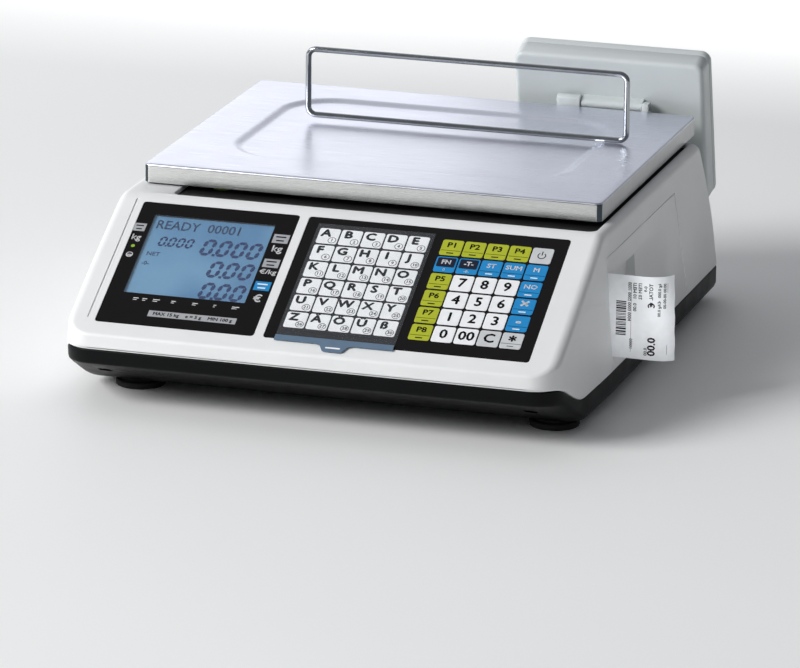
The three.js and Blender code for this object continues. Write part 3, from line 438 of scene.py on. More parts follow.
class Ink:
    """Gathers flat print, letters and bars, as thin solids in one mesh."""

    THICK = 0.06

    def __init__(self, name, material, body, slot, matrix, level):
        self.name, self.material, self.body, self.slot = name, material, body, slot
        self.matrix, self.level = matrix, level
        self.bm = bmesh.new()

    def shape(self, outline):
        slab(self.bm, outline, self.level, self.level + self.THICK)

    def bar(self, x0, x1, y0, y1):
        self.shape(rectangle(x0, x1, y0, y1))

    def ring(self, x, y, radius, width, sides=20):
        circle = [(math.cos(2 * math.pi * i / sides), math.sin(2 * math.pi * i / sides))
                  for i in range(sides)]
        frame_slab(self.bm, [(x + radius * c, y + radius * s) for c, s in circle],
                   [(x + (radius - width) * c, y + (radius - width) * s) for c, s in circle],
                   self.level, self.level + self.THICK)

    def text(self, words, x, y, size, bold=0.0, align="CENTER", turn=0.0, wide=1.0):
        """Words in the built-in font; bold thickens their strokes by laying shifted copies over them."""
        curve = bpy.data.curves.new("words", "FONT")
        curve.body = words
        curve.size = size
        curve.align_x = align
        curve.align_y = "CENTER"
        curve.resolution_u = 2
        curve.extrude = self.THICK / 2
        obj = linked("words", curve)
        mesh = applied(obj)
        mesh.transform(Matrix.Translation((x, y, self.level + self.THICK / 2))
                       @ Matrix.Rotation(turn, 4, "Z") @ Matrix.Diagonal((wide, 1, 1, 1)))
        shift = bold * size
        moves = [(-shift, 0), (shift, 0), (0, shift), (0, -shift)] if bold else [(0, 0)]
        at_x, at_y = 0.0, 0.0
        for dx, dy in moves:
            mesh.transform(Matrix.Translation((dx - at_x, dy - at_y, 0)))
            at_x, at_y = dx, dy
            self.bm.from_mesh(mesh)
        bpy.data.objects.remove(obj)
        bpy.data.curves.remove(curve)
        bpy.data.meshes.remove(mesh)

    SEGMENTS = {"0": "abcdef", "1": "bc", "2": "abged", "3": "abgcd", "4": "fgbc", "5": "afgcd",
                "6": "afgedc", "7": "abc", "8": "abcdefg", "9": "abcdfg", "-": "g"}

    def digits(self, words, right, base, height, lean=0.16):
        """Seven-segment digits that end at right and stand on base."""
        wide, stroke, pitch = height * 0.56, height * 0.17, height * 0.68
        x = right
        for letter in reversed(words):
            if letter == ".":
                left = x - stroke * 0.5
                self.bar(left, left + stroke * 0.8, base, base + stroke * 0.8)
                x -= stroke * 0.2
                continue
            x -= pitch
            for part in self.SEGMENTS.get(letter, ""):
                self.shape(self.segment(part, x, base, wide, height, stroke, lean))

    @staticmethod
    def segment(part, x, base, wide, height, stroke, lean):
        gap, half = stroke * 0.07, stroke / 2
        if part in "agd":
            y = {"a": height - half, "g": height / 2, "d": half}[part]
            pts = [(half + gap, y), (stroke + gap, y - half), (wide - stroke - gap, y - half),
                   (wide - half - gap, y), (wide - stroke - gap, y + half), (stroke + gap, y + half)]
        else:
            px = half if part in "fe" else wide - half
            low, high = (height / 2, height - half) if part in "fb" else (half, height / 2)
            foot, head = low + stroke * 0.6 + gap, high - stroke * 0.6 - gap
            pts = [(px, low + gap), (px + half, foot), (px + half, head),
                   (px, high - gap), (px - half, head), (px - half, foot)]
        return [(x + px + lean * py, base + py) for px, py in pts]

    def done(self):
        return solid(self.bm, self.name, self.matrix, self.material, self.body, 30)


# ------------------------------------------------------------------ housing, base and door
TOP_Z, FRONT_Y, CORNER, REAR_CORNER, WALL = 129.0, -228.0, 22.0, 8.0, 3.0
TOP_HALF, SEAM_HALF = 184.0, 192.0
CREASE_Y, CREASE_Z, TOP_BLEND, REAR_BLEND = -227.0, 57.4, 3, 4
# EDGE_GROWS and SEAM_FALLS are the stretches of y over which the edge's radius and the seam change.
FRONT_EDGE, SIDE_EDGE, EDGE_GROWS, UNDER_EDGE = 1.8, 6.2, (-225, -207), 7.0
SEAM_Z, FRONT_SEAM_Z, SEAM_FALLS = 25.5, 45.5, (-222, -165)
PINCH, PINCH_FROM = 6.0, -60.0
# Each stretch of the rear wall: a height, its y there, and how far back it runs for each millimetre down.
REAR_STRETCHES = ((TOP_Z, 181, 0.489), (84, 203, 0.341), (62, 210.5, 0.151))
# The base: fronts are how far forward it reaches, and its band ends at the seam.
BOTTOM_Z, SHOULDER_Z, BAND_Z, SEAM_GAP, BASE_STEP = 8.0, 12.0, 33.5, 0.4, 0.3
BOTTOM_FRONT, BAND_FRONT, SEAM_FRONT, BOTTOM_CORNER, BOTTOM_EDGE = 170.0, 223.5, 227.7, 14.0, 1.5
# Points along a side, measured back from the front corner, closer together where the shape turns.
SEAM_ROWS = (*range(5, 46, 5), *range(62, 96, 16), 125, 146)
HOUSING_ROWS = sorted((*SEAM_ROWS, *range(98, 114)))

DOOR_FRONT, DOOR_REAR, DOOR_REAR_LOW, DOOR_TOP, DOOR_LOW = -94.0, 97.0, 118.0, 110.0, 25.9
# Openings: x0, x1, y0, y1, but x0, x1, z0, z1 in the rear wall.
TRAY_MOUTH = (-145, 176, -95, 172)
REAR_HOLES = ((-149.3, -120.7, 41.7, 62.3), (-95.3, -48.7, 40.7, 59.3))
BATTERY_HOLE = (-174.3, -103.7, 35.7, 137.3)
FRONT_SLOTS, SLOT_HALF = (-160, 160), 5
FEET, FOOT_HOLE = ((-150, -152), (164, -152), (-150, 165), (164, 165)), 4.3

# On the sloped panel.
WINDOW_X, OVERLAY_X, PANEL_LOW, PANEL_CORNER = (-162.5, -42.5), (-35, 162), -124.5, 2.2
BED_GAP, BED_DEPTH = 0.3, 1.8
LCD_POCKET, PANEL_GROOVE = (-153, -55, -96, -9), (-169.4, -167.6, -121, 3)


def soft_min(a, b, reach):
    """The lower of two heights, with the corner between them rounded."""
    near = max(reach - abs(a - b), 0) / reach
    return min(a, b) - near * near * reach / 4


def soft_step(low, high, value):
    t = min(max((value - low) / (high - low), 0), 1)
    return t * t * (3 - 2 * t)


def top_height(y):
    return soft_min(TOP_Z, CREASE_Z + (y - CREASE_Y) * math.tan(SLOPE), TOP_BLEND)


def seam_height(y):
    """The seam between housing and base: high across the front, low along the sides."""
    return FRONT_SEAM_Z - (FRONT_SEAM_Z - SEAM_Z) * soft_step(*SEAM_FALLS, y)


def pinched(y):
    """How far the sides close in towards the front."""
    return PINCH * (max(PINCH_FROM - y, 0) / (PINCH_FROM - FRONT_Y)) ** 2


def half_width(z):
    return TOP_HALF + (TOP_Z - z) * (SEAM_HALF - TOP_HALF) / (TOP_Z - SEAM_Z)


def rear_wall(z):
    """The rear wall slopes well forward near the top and stands almost upright at the seam."""
    top, middle, low = (y + (height - z) * slant for height, y, slant in REAR_STRETCHES)
    return soft_min(soft_min(top, middle, REAR_BLEND), low, REAR_BLEND)


def housing_size(z):
    """Half width, front, rear and front corner radius of the housing at a height."""
    return half_width(z), FRONT_Y, rear_wall(z), CORNER


def base_size(z):
    """The same for the base: an upright band over an underside that slants back to the flat bottom."""
    rise = (z - BOTTOM_Z) / (BAND_Z - BOTTOM_Z)
    slanted = BOTTOM_FRONT + rise * (BAND_FRONT - BOTTOM_FRONT)
    band = BAND_FRONT + (z - BAND_Z) * (SEAM_FRONT - BAND_FRONT) / (FRONT_SEAM_Z - BAND_Z)
    edge = BOTTOM_EDGE * max(SHOULDER_Z - z, 0) / (SHOULDER_Z - BOTTOM_Z)
    corner = BOTTOM_CORNER + (CORNER - BOTTOM_CORNER) * min(max(rise, 0), 1)
    half = half_width(max(z, SEAM_Z)) - BASE_STEP - edge
    return half, -soft_min(slanted, band, 1), rear_wall(max(z, SEAM_Z)) - edge, corner


def along_side(value, y):
    """A value that is a number or a function of y."""
    return value(y) if callable(value) else value


def level(inset, height, size, rows, steps=8):
    """One loop round the body: its right half from front to rear, then its left half back again.
    inset and height say how far in and how high it runs, as numbers or as functions of y. rows are the
    points along a side, measured from the front corner. A point's y and the size of the body at its
    height depend on each other, so a few rounds settle them."""
    arc = [math.radians(90 * i / steps) for i in range(steps + 1)]
    right = []
    places = [("front", a) for a in arc] + [("side", row) for row in rows] + [("rear", a) for a in arc]
    for kind, value in places:
        y = FRONT_Y if kind == "front" else 0
        for _ in range(5):
            z, step = along_side(height, y), along_side(inset, y)
            half, front, rear, corner = size(z)
            if kind == "front":
                x = half - pinched(front + corner) - step - (corner - step) * (1 - math.sin(value))
                y = front + step + (corner - step) * (1 - math.cos(value))
            elif kind == "side":
                y = front + corner + value
                x = half - step - pinched(y)
            else:
                x = half - step - (REAR_CORNER - step) * (1 - math.cos(value))
                y = rear - step - (REAR_CORNER - step) * (1 - math.sin(value))
        right.append((x, y, along_side(height, y)))
    return right + [(-x, y, z) for x, y, z in reversed(right)]


def body_solid(levels):
    """A closed solid through loops from level(), with strips across its lowest and highest loop."""
    bm = bmesh.new()
    loops = add_rings(bm, levels, closed_ends=False)
    half = len(levels[0]) // 2
    for loop in (loops[0], loops[-1]):
        for i in range(half - 1):
            bm.faces.new((loop[i], loop[i + 1], loop[-2 - i], loop[-1 - i]))
    return bm


def temp_object(bm, matrix=None):
    if matrix is not None:
        bm.transform(matrix)
    bmesh.ops.recalc_face_normals(bm, faces=bm.faces)
    mesh = bpy.data.meshes.new("temp")
    bm.to_mesh(mesh)
    bm.free()
    return linked("temp", mesh)


def block(x0, x1, y0, y1, z0, z1, matrix=None):
    bm = plate(rectangle(x0, x1, y0, y1), z0, z1)
    return temp_object(bm, matrix)


def carve(name, body, cutters, smooth_degrees=32):
    """The body's mesh, in the frame's metres, with every cutter taken out of it."""
    for cutter in cutters:
        carving = body.modifiers.new("carve", "BOOLEAN")
        carving.object = cutter
        carving.operation = "DIFFERENCE"
        carving.solver = "EXACT"
    mesh = applied(body)
    for obj in [body, *cutters]:
        bpy.data.objects.remove(obj)
    mesh.name = name
    mesh.transform(DESIGN)
    mesh.shade_smooth()
    mesh.set_sharp_from_angle(angle=math.radians(smooth_degrees))
    return mesh


def edge_radius(y):
    """The top edge is crisp along the front and well rounded along the sides."""
    return FRONT_EDGE + (SIDE_EDGE - FRONT_EDGE) * soft_step(*EDGE_GROWS, y)


def under_edge(y):
    """The height where the walls end, below the rounding of the top edge."""
    return top_height(y) - UNDER_EDGE


def housing_loop(inset, height):
    return level(inset, height, housing_size, HOUSING_ROWS)


def rounded_edge(degrees, past=0):
    """A loop on the rounded top edge, from 0 degrees on the wall to 90 on the top, or past either end."""
    turn = math.radians(degrees)

    def inset(y):
        return edge_radius(y) * (1 - math.cos(turn)) + max(past, 0)

    def height(y):
        return top_height(y) - edge_radius(y) * (1 - math.sin(turn)) + min(past, 0)

    return housing_loop(inset, height)


def housing_outside():
    """A small lip at the seam, the walls, and the rounded top edge."""
    loops = [housing_loop(inset, lambda y, rise=rise: seam_height(y) + rise)
             for inset, rise in ((0.9, 0), (0.25, 0.35), (0, 1), (0, 1.6))]
    loops += [housing_loop(0, lambda y, share=share: (1 - share) * seam_height(y) + share * under_edge(y))
              for share in (0.25, 0.35, 0.43, 0.51, 0.59, 0.68, 0.84)]
    loops += [rounded_edge(0, -0.4), *[rounded_edge(degrees) for degrees in range(0, 91, 15)]]
    return temp_object(body_solid([*loops, rounded_edge(90, 0.5)]))


def housing_hollow():
    """The room inside, open at the bottom."""
    loops = [housing_loop(WALL, -10)]
    loops += [housing_loop(WALL, lambda y, share=share: share * under_edge(y)) for share in (0.4, 0.6, 0.8, 1)]
    loops.append(housing_loop(WALL + 4, lambda y: top_height(y) - WALL))
    return temp_object(body_solid(loops))


def door_opening():
    """What the door closes, a little wider than the door itself."""
    front, rear, rear_low = DOOR_FRONT - 1.6, DOOR_REAR + 1.2, DOOR_REAR_LOW + 1.2
    top, low = DOOR_TOP + 0.5, 10
    outline = [(front, low), (rear_low, low), (rear_low, DOOR_LOW), (rear, top), (front, top)]
    bm = ringed([[(x, y, z) for y, z in outline] for x in (150, 220)])
    return temp_object(bm)


def tray_mouth():
    """The opening under the pan, with a softly rounded lip."""
    lip = [(112, 0), (TOP_Z - 1.2, 0), (TOP_Z - 0.7, 0.15), (TOP_Z - 0.3, 0.5), (TOP_Z, 1.1), (140, 1.1)]
    return temp_object(ringed([[(x, y, z) for x, y in rounded(*shrunk(TRAY_MOUTH, -grow), 6 + grow, 6)]
                               for z, grow in lip]))


def panel_bed(x0, x1):
    """The shallow bed that the window or the overlay lies in."""
    bounds = shrunk((x0, x1, PANEL_LOW, 0), -BED_GAP)
    bed = plate(rounded(*bounds, PANEL_CORNER + BED_GAP, 5), -BED_DEPTH, 6)
    return temp_object(bed, ON_PANEL)


def build_housing():
    cutters = [housing_hollow(), block(*LCD_POCKET, -12, 5, ON_PANEL), block(*PANEL_GROOVE, -0.8, 4, ON_PANEL),
               door_opening(), tray_mouth(), panel_bed(*WINDOW_X), panel_bed(*OVERLAY_X)]
    cutters += [block(x0, x1, 190, 240, z0, z1) for x0, x1, z0, z1 in REAR_HOLES]
    mesh = carve("housing_shell", housing_outside(), cutters)
    shell = new_object("housing_shell", mesh, "white", "chassis")
    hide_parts("upper_housing")


def base_loop(inset, height):
    return level(inset, height, base_size, SEAM_ROWS)


def base_outside():
    """Above the shoulder, share is how far up towards the seam a loop lies."""
    loops = [base_loop(inset, z) for z, inset in ((BOTTOM_Z, 1.2), (8.3, 0.35), (9, 0), (SHOULDER_Z, 0))]
    shares = (0.2, 0.4, 0.55, 0.62, 0.65, 0.68, 0.75, 0.85, 0.94)
    for share, inset in (*[(share, 0) for share in shares], (0.975, 0.2), (1, 0.9)):
        def height(y, share=share):
            return SHOULDER_Z + share * (seam_height(y) - SEAM_GAP - SHOULDER_Z)
        loops.append(base_loop(inset, height))
    return temp_object(body_solid(loops))


def build_base():
    """The black tray, with its battery opening, two slots in front and a hole for each foot."""
    hollow = temp_object(body_solid([base_loop(WALL, z) for z in (11, 14.5, 36, 70)]))
    cutters = [hollow, block(*BATTERY_HOLE, 0, 11.5)]
    cutters += [block(x - SLOT_HALF, x + SLOT_HALF, -240, -180, 21, 24.5) for x in FRONT_SLOTS]
    cutters += [block(*shrunk((x, x, y, y), -FOOT_HOLE), 0, 20) for x, y in FEET]
    mesh = carve("base_shell", base_outside(), cutters)
    shell = new_object("base_shell", mesh, "black", "chassis")
    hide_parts("base_tray")


def door_edge(point):
    """Only the door's outer edges are rounded."""
    return 0.5 if point.x > half_width(point.z) - 3.5 else 0.0


build_housing()
build_base()
refined("printer_door", "door_shell", "white", "door", door_edge)


# ------------------------------------------------------------------ pan and guard rail
PAN_X, PAN_REAR, PAN_TOP, PAN_RIM, SHEET = 175.0, 199.8, 144.6, 14.0, 1.5
PAN_PLAN, PAN_CORNER, PAN_EDGE, PAN_STEPS = (-PAN_X, PAN_X, PAN_FRONT, PAN_REAR), 5, 1.8, 10
DISH, DISH_CORNER, DISH_DEPTH, DISH_RAMP = (-135, 131, -28, 164), 44, 2.4, 10
RAIL_X, RAIL_Y, RAIL_HIGH, RAIL_BEND, WIRE = (-103, 147), 98, 51.0, 6, 2.25


def pan_ring(z, inset, corner, bounds=PAN_PLAN):
    return [(x, y, z) for x, y in rounded(*shrunk(bounds, inset), corner, PAN_STEPS)]


def dish_ring(z, inset):
    return pan_ring(z, inset, DISH_CORNER - inset, DISH)


def pan_skin(drop, inward):
    """One face of the sheet, from the rim's lower edge to the dish. drop and inward say how much lower
    and further in it lies than the outer face."""
    rows = [pan_ring(z, inward, PAN_CORNER - inward)
            for z in (PAN_TOP - PAN_RIM, PAN_TOP - PAN_EDGE - 0.2)]
    for i in range(1, 6):
        angle = math.radians(90 * i / 5)
        inset = inward + (PAN_EDGE - inward) * (1 - math.cos(angle))
        z = PAN_TOP - drop - (PAN_EDGE - drop) * (1 - math.sin(angle))
        rows.append(pan_ring(z, inset, PAN_CORNER - inset))
    rows.append(pan_ring(PAN_TOP - drop, 7, PAN_CORNER))
    rows += [dish_ring(PAN_TOP - drop - DISH_DEPTH * soft_step(0, 8, i), DISH_RAMP * i / 8)
             for i in range(9)]
    return [*rows, dish_ring(PAN_TOP - drop - DISH_DEPTH, 24)]


def build_pan():
    """One pressed sheet: turned-down rim, rounded edge, shallow dish with a soft ramp."""
    bm = ringed([*reversed(pan_skin(0, 0)), *pan_skin(SHEET, SHEET)])
    mesh = finish_mesh(bm, "pan_sheet", DESIGN, 40)
    pan = new_object("pan_sheet", mesh, "steel", "pan")
    # The rim's faces take copies of the steel by the way they face: front and back the rim steel, the sides a
    # darker grey as painted shade, and the corners a dark steel as a painted dark reflection.
    for key in ("rim", "rim_side", "corner"):
        mesh.materials.append(mats[key])
    for face in mesh.polygons:
        if abs(face.normal.z) < 0.5 and face.center.z < (PAN_TOP - 1.5) * MM:
            across, along = abs(face.normal.x), abs(face.normal.y)
            face.material_index = 3 if min(across, along) > 0.3 else 2 if across > along else 1
    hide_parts("weighing_pan")


def build_rail():
    bottom = PAN_TOP + 0.3 + WIRE
    path = rounded(*RAIL_X, bottom, bottom + RAIL_HIGH, RAIL_BEND, 8)
    sides = 20
    rings = []
    for i, (x, z) in enumerate(path):
        before, after = path[i - 1], path[(i + 1) % len(path)]
        along = Vector((after[0] - before[0], after[1] - before[1])).normalized()
        ring = []
        for j in range(sides):
            angle = 2 * math.pi * j / sides
            out = WIRE * math.cos(angle)
            ring.append((x + along.y * out, RAIL_Y + WIRE * math.sin(angle), z - along.x * out))
        rings.append(ring)
    bm = ringed(rings, wrap=True)
    rail = solid(bm, "rail_wire", DESIGN, "chrome", "pan", 60)
    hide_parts("guard_rail")


build_pan()
build_rail()


# ------------------------------------------------------------------ LCD window
LCD = (-150.6, -58.0, -93.0, -12.0)


def build_lcd_window():
    steps = 4
    outer = rounded(*WINDOW_X, PANEL_LOW, 0, PANEL_CORNER, steps)
    inner = rounded(*LCD, 0.8, steps)
    bm = bmesh.new()
    frame_slab(bm, outer, inner, -1.5, 0)
    bezel = solid(bm, "lcd_bezel", PANEL, "bezel", "chassis")
    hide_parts("lcd_window")
    bm = plate(rounded(*shrunk(LCD, 0.05), 0.8, steps), -0.7, -0.15)
    solid(bm, "lcd_pane", PANEL, "glass", "chassis")
    bm = bmesh.new()
    slab(bm, rectangle(*shrunk(LCD, -1)), -5.0, -2.0)
    slab(bm, rectangle(-158, -50, -101, -4), -9.5, -5.0)
    crystal = solid(bm, "lcd_crystal", PANEL, "lcd", "chassis")
    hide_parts("lcd_module")


def build_lcd_print():
    """Digits and words, laid just over the crystal."""
    ink = Ink("lcd_digits", "ink", "chassis", "lcd_panel", PANEL, -1.95)
    thin = Ink("lcd_heading", "ink_thin", "chassis", "lcd_panel", PANEL, -1.95)
    right = LCD[1] - 3.2
    thin.text("READY  00001", -147.5, -20.5, 12.5, 0.012, "LEFT", wide=0.86)
    ink.digits("0.000", -113.5, -42, 10)
    for base, words in ((-47.5, "0.000"), (-69, "0.00"), (-91, "0.00")):
        ink.digits(words, right, base, 17)
    thin.text("NET", -146, -50.5, 5.5, 0.02, "LEFT")
    thin.text("-0-", -147, -60.5, 5.5, 0.02, "LEFT")
    ink.done()
    thin.done()


def unit_box(box, small, x, y, wide, high):
    """A label block with two short lines of small print in it."""
    box.bar(x - wide / 2, x + wide / 2, y - high / 2, y + high / 2)
    for row, share in ((0.2, 0.34), (-0.22, 0.26)):
        small.bar(x - wide * share, x + wide * share * 0.9,
                  y + (row - 0.07) * high, y + (row + 0.07) * high)


def build_window_labels():
    """Unit boxes and marks round the LCD, printed on the bezel."""
    kinds = (("legends", "legend_white", 0.02), ("boxes", "label_grey", 0.02), ("blue_box", "key_blue", 0.02),
             ("lamp", "lamp_green", 0.02), ("small_print", "legend_dark", 0.09),
             ("pale_print", "legend_white", 0.09))
    layer = {name: Ink(f"bezel_{name}", material, "chassis", "window_black", PANEL, height)
             for name, material, height in kinds}
    white, grey, small = layer["legends"], layer["boxes"], layer["small_print"]
    right = -50
    unit_box(grey, small, -158, -26.5, 9, 8)
    white.text("kg", -157.6, -37, 8, 0.02)
    layer["lamp"].ring(-157.4, -46, 1.5, 1.4, 12)
    white.ring(-157.4, -55, 2.6, 0.45, 14)
    for y in (-55.3, -56.4):
        white.bar(-159.3, -155.5, y, y + 0.5)
    unit_box(grey, small, right, -25.5, 12, 9)
    white.text("kg", right, -36, 9, 0.02)
    unit_box(grey, small, right, -51, 12, 8.5)
    white.text("€/kg", right, -60, 6.2, 0.02, wide=1.1)
    unit_box(layer["blue_box"], layer["pale_print"], right, -74.5, 12, 9)
    white.text("€", right, -87.5, 10, 0.025)
    marks = ((-141, 4), (-134, 3.4), (-126, 5), (-112, 3.2), (-96, 4), (-80, 2), (-66, 5.5))
    for x, width in marks:
        white.bar(x, x + width, -98.3, -97.7)
        white.bar(x, x + width * 0.7, -99.9, -99.4)
    grey.bar(-125.5, -59, -115, -109)
    small.text("MAX 15 kg    e = 5 g    MIN 100 g", -92, -112, 4.3, 0.03)
    for ink in layer.values():
        ink.done()


build_lcd_window()
build_lcd_print()
build_window_labels()


# ------------------------------------------------------------------ keypad
PITCH_X, PITCH_Y, KEY_W, KEY_H = 16.85, 17.3, 15.7, 15.6
LETTER_X, NUMBER_X, KEYS_TOP = -23.5, 69.6, -11.0
LETTERS = "ABCDEFGHIJKLMNOPQRSTUVWXYZÄÖÜß"
KEY_FOOT, ON_KEY, ON_CAP = 4.6, 0.36, 0.42


def key_outline(left, row, column):
    x = left + column * PITCH_X
    y = KEYS_TOP - row * PITCH_Y
    return x, y, rounded(x, x + KEY_W, y - KEY_H, y, 1.6, 3)


def build_overlay():
    bm = plate(rounded(*OVERLAY_X, PANEL_LOW, 0, PANEL_CORNER, 5), -1.5, 0)
    overlay = solid(bm, "overlay_sheet", PANEL, "overlay", "chassis")
    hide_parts("keypad_overlay")
    bm = plate(rounded(-24.5, 61, -115.5, -9, 1.5, 3), 0.3, 0.55)
    card = solid(bm, "letter_card", PANEL, "overlay", "chassis")
    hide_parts("preset_card")


def build_letter_keys():
    keys = bmesh.new()
    number_in, number_up = KEY_W - 4.1, 3.8 - KEY_H
    legends = Ink("letter_legends", "legend_dark", "chassis", "card_paper", PANEL, 0.74)
    for i, letter in enumerate(LETTERS):
        x, y, outline = key_outline(LETTER_X, i // 5, i % 5)
        slab(keys, outline, 0.5, 0.74, 0.1)
        legends.text(letter, x + 5.8, y - 5.2, 9.8, 0.055, wide=1.12)
        legends.text(str(i + 1), x + number_in, y + number_up, 4.0, 0.02)
        legends.ring(x + number_in, y + number_up, 3.1, 0.42, 16)
    solid(keys, "letter_keys", PANEL, "key_white", "chassis")
    legends.done()


NUMBER_KEYS = [
    ["green:P1", "green:P2", "green:P3", "green:P4", "grey:power"],
    ["navy:FN", "navy:-T-", "blue:ST", "blue:SUM", "blue:M"],
    ["green:P5", "white:7", "white:8", "white:9", "blue:NO"],
    ["green:P6", "white:4", "white:5", "white:6", "blue:×"],
    ["green:P7", "white:1", "white:2", "white:3", "blue:-"],
    ["green:P8", "white:0", "white:00", "grey:C", "grey:*"],
]


def underline(ink, x, foot):
    ink.bar(x + 0.6, x + KEY_W - 0.6, foot, foot + 0.35)


def label_key(colour, word, x, y, dark, light):
    """What one key has printed on it: a word, and on most a line with a small mark under it."""
    middle, foot = x + KEY_W / 2, y - KEY_H + KEY_FOOT
    if colour == "navy":
        light.level = ON_CAP
        light.text(word, middle, y - 5.6, 5.8, 0.03)
        light.level = ON_KEY
        light.text("-0-" if word == "-T-" else "0", middle, foot - 2.2, 3.4, 0.02)
    elif word == "power":
        power_mark(dark, middle, y - KEY_H / 2)
    elif colour in ("green", "blue"):
        ink = dark if colour == "green" else light
        size = 7 if colour == "green" else (12 if word in "×-" else 5.8)
        ink.text(word, middle, y - 5.4, size, 0.03, wide=1.1)
        underline(dark, x, foot)
        ink.bar(middle - 2.6, middle + 2.6, foot - 2.9, foot - 1.9)
    elif word == "*":
        dark.text(word, middle, y - 8.2, 13, 0.03)
        underline(dark, x, foot)
        dark.bar(middle - 2.4, middle + 2.4, foot - 2.6, foot - 2.0)
    else:
        dark.text(word, middle, y - KEY_H / 2, 12, 0.028)


def build_number_keys():
    caps = {name: bmesh.new() for name in ("white", "grey", "green", "blue", "navy")}
    dark = Ink("number_legends", "legend_dark", "chassis", "overlay_print", PANEL, ON_KEY)
    light = Ink("function_legends", "legend_white", "chassis", "overlay_print", PANEL, ON_KEY)
    for row, keys in enumerate(NUMBER_KEYS):
        for column, entry in enumerate(keys):
            colour, word = entry.split(":")
            x, y, outline = key_outline(NUMBER_X, row, column)
            slab(caps["blue" if colour == "navy" else colour], outline, 0.0, 0.35, 0.12)
            if colour == "navy":
                cap = rounded(x + 1, x + KEY_W - 1, y - KEY_H + KEY_FOOT + 0.6, y - 1, 1, 2)
                slab(caps["navy"], cap, 0.3, 0.4, 0.04)
            label_key(colour, word, x, y, dark, light)
    for name, bm in caps.items():
        solid(bm, f"number_keys_{name}", PANEL, f"key_{name}", "chassis")
    dark.done()
    light.done()


def power_mark(ink, x, y):
    radius, width = 3.2, 0.75
    arc = [math.radians(a) for a in range(-235, 56, 15)]
    for a, b in zip(arc, arc[1:]):
        ink.shape([(x + r * math.cos(t), y + r * math.sin(t))
                   for r, t in ((radius - width, a), (radius, a), (radius, b), (radius - width, b))])
    ink.bar(x - width / 2, x + width / 2, y + 0.4, y + 4.4)


def build_card_cover():
    """Clear film over the letter card, with a coloured strip and a finger tab along its lower edge, and a
    white bar on the tab that is a painted highlight.
    """
    x0, x1, low, high = -26.0, 62.7, -127.0, -7.0
    strip_top, tab_x = -121.8, 19.1
    bm = plate(rectangle(x0, x1, strip_top + 0.05, high), 0.9, 1.25)
    film = solid(bm, "cover_film", PANEL, "film", "card_flap")
    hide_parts("card_cover")
    tab = ((14.1, 0), (10.6, 1.2), (7.5, 6.4), (5.9, 7))
    edge = [(x0, low), *[(tab_x - half, low - drop) for half, drop in tab],
            *[(tab_x + half, low - drop) for half, drop in reversed(tab)],
            (x1, low), (x1, strip_top), (x0, strip_top)]
    # The strip's blue-grey is partly its tint and partly painted reflection.
    bm = plate(edge, 0.9, 1.65, 0.15)
    solid(bm, "cover_strip", PANEL, "strip_blue", "card_flap")
    # A white bar on the tab: a painted highlight.
    bm = plate(rounded(tab_x - 5.6, tab_x + 5.6, low - 4.2, low - 2.8, 0.6, 3), 1.6, 1.75, 0.1)
    solid(bm, "cover_tab_highlight", PANEL, "key_white", "card_flap")


build_overlay()
build_letter_keys()
build_number_keys()
build_card_cover()


# ------------------------------------------------------------------ receipt
SLOT_X, NIP_Y = 172.0, DOOR_FRONT - 0.6
PAPER_LOW, PAPER_HIGH, PAPER_THICK = 37.0, 99.0, 0.16
RECEIPT_LENGTH, RECEIPT_STEPS, PRINT_FROM = 66.0, 48, 14


def receipt_row(z):
    """The strip's plan at one height: straight out of the slot, then curling back, sooner near its top."""
    high = (z - PAPER_LOW) / (PAPER_HIGH - PAPER_LOW)
    curl_from = 46 - 10 * high
    turn = math.radians(78 + 8 * high)
    x, y = SLOT_X, NIP_Y
    places = [(x, y)]
    step = RECEIPT_LENGTH / RECEIPT_STEPS
    for i in range(RECEIPT_STEPS):
        bent = soft_step(curl_from, RECEIPT_LENGTH + 12, (i + 0.5) * step)
        angle = turn * bent - math.radians(2.2) * soft_step(14, 34, i * step) * (1 - bent)
        x += step * math.cos(angle)
        y += step * math.sin(angle)
        places.append((x, y))
    return places


RECEIPT_ROWS = 12
RECEIPT_PITCH = (PAPER_HIGH - PAPER_LOW) / RECEIPT_ROWS
RECEIPT = [receipt_row(PAPER_LOW + RECEIPT_PITCH * j) for j in range(RECEIPT_ROWS + 1)]


def on_receipt(along, z, lift=0.0):
    """A point on the strip at a distance along it, lifted towards the operator."""
    v = min(max((z - PAPER_LOW) / (PAPER_HIGH - PAPER_LOW) * RECEIPT_ROWS, 0), RECEIPT_ROWS - 0.001)
    u = min(max(along / RECEIPT_LENGTH * RECEIPT_STEPS, 0), RECEIPT_STEPS - 0.001)
    i, j = int(u), int(v)
    here, there = (Vector(RECEIPT[j][k]).lerp(Vector(RECEIPT[j + 1][k]), v - j) for k in (i, i + 1))
    place = here.lerp(there, u - i)
    way = (there - here).normalized()
    return (place.x + way.y * lift, place.y - way.x * lift, z)


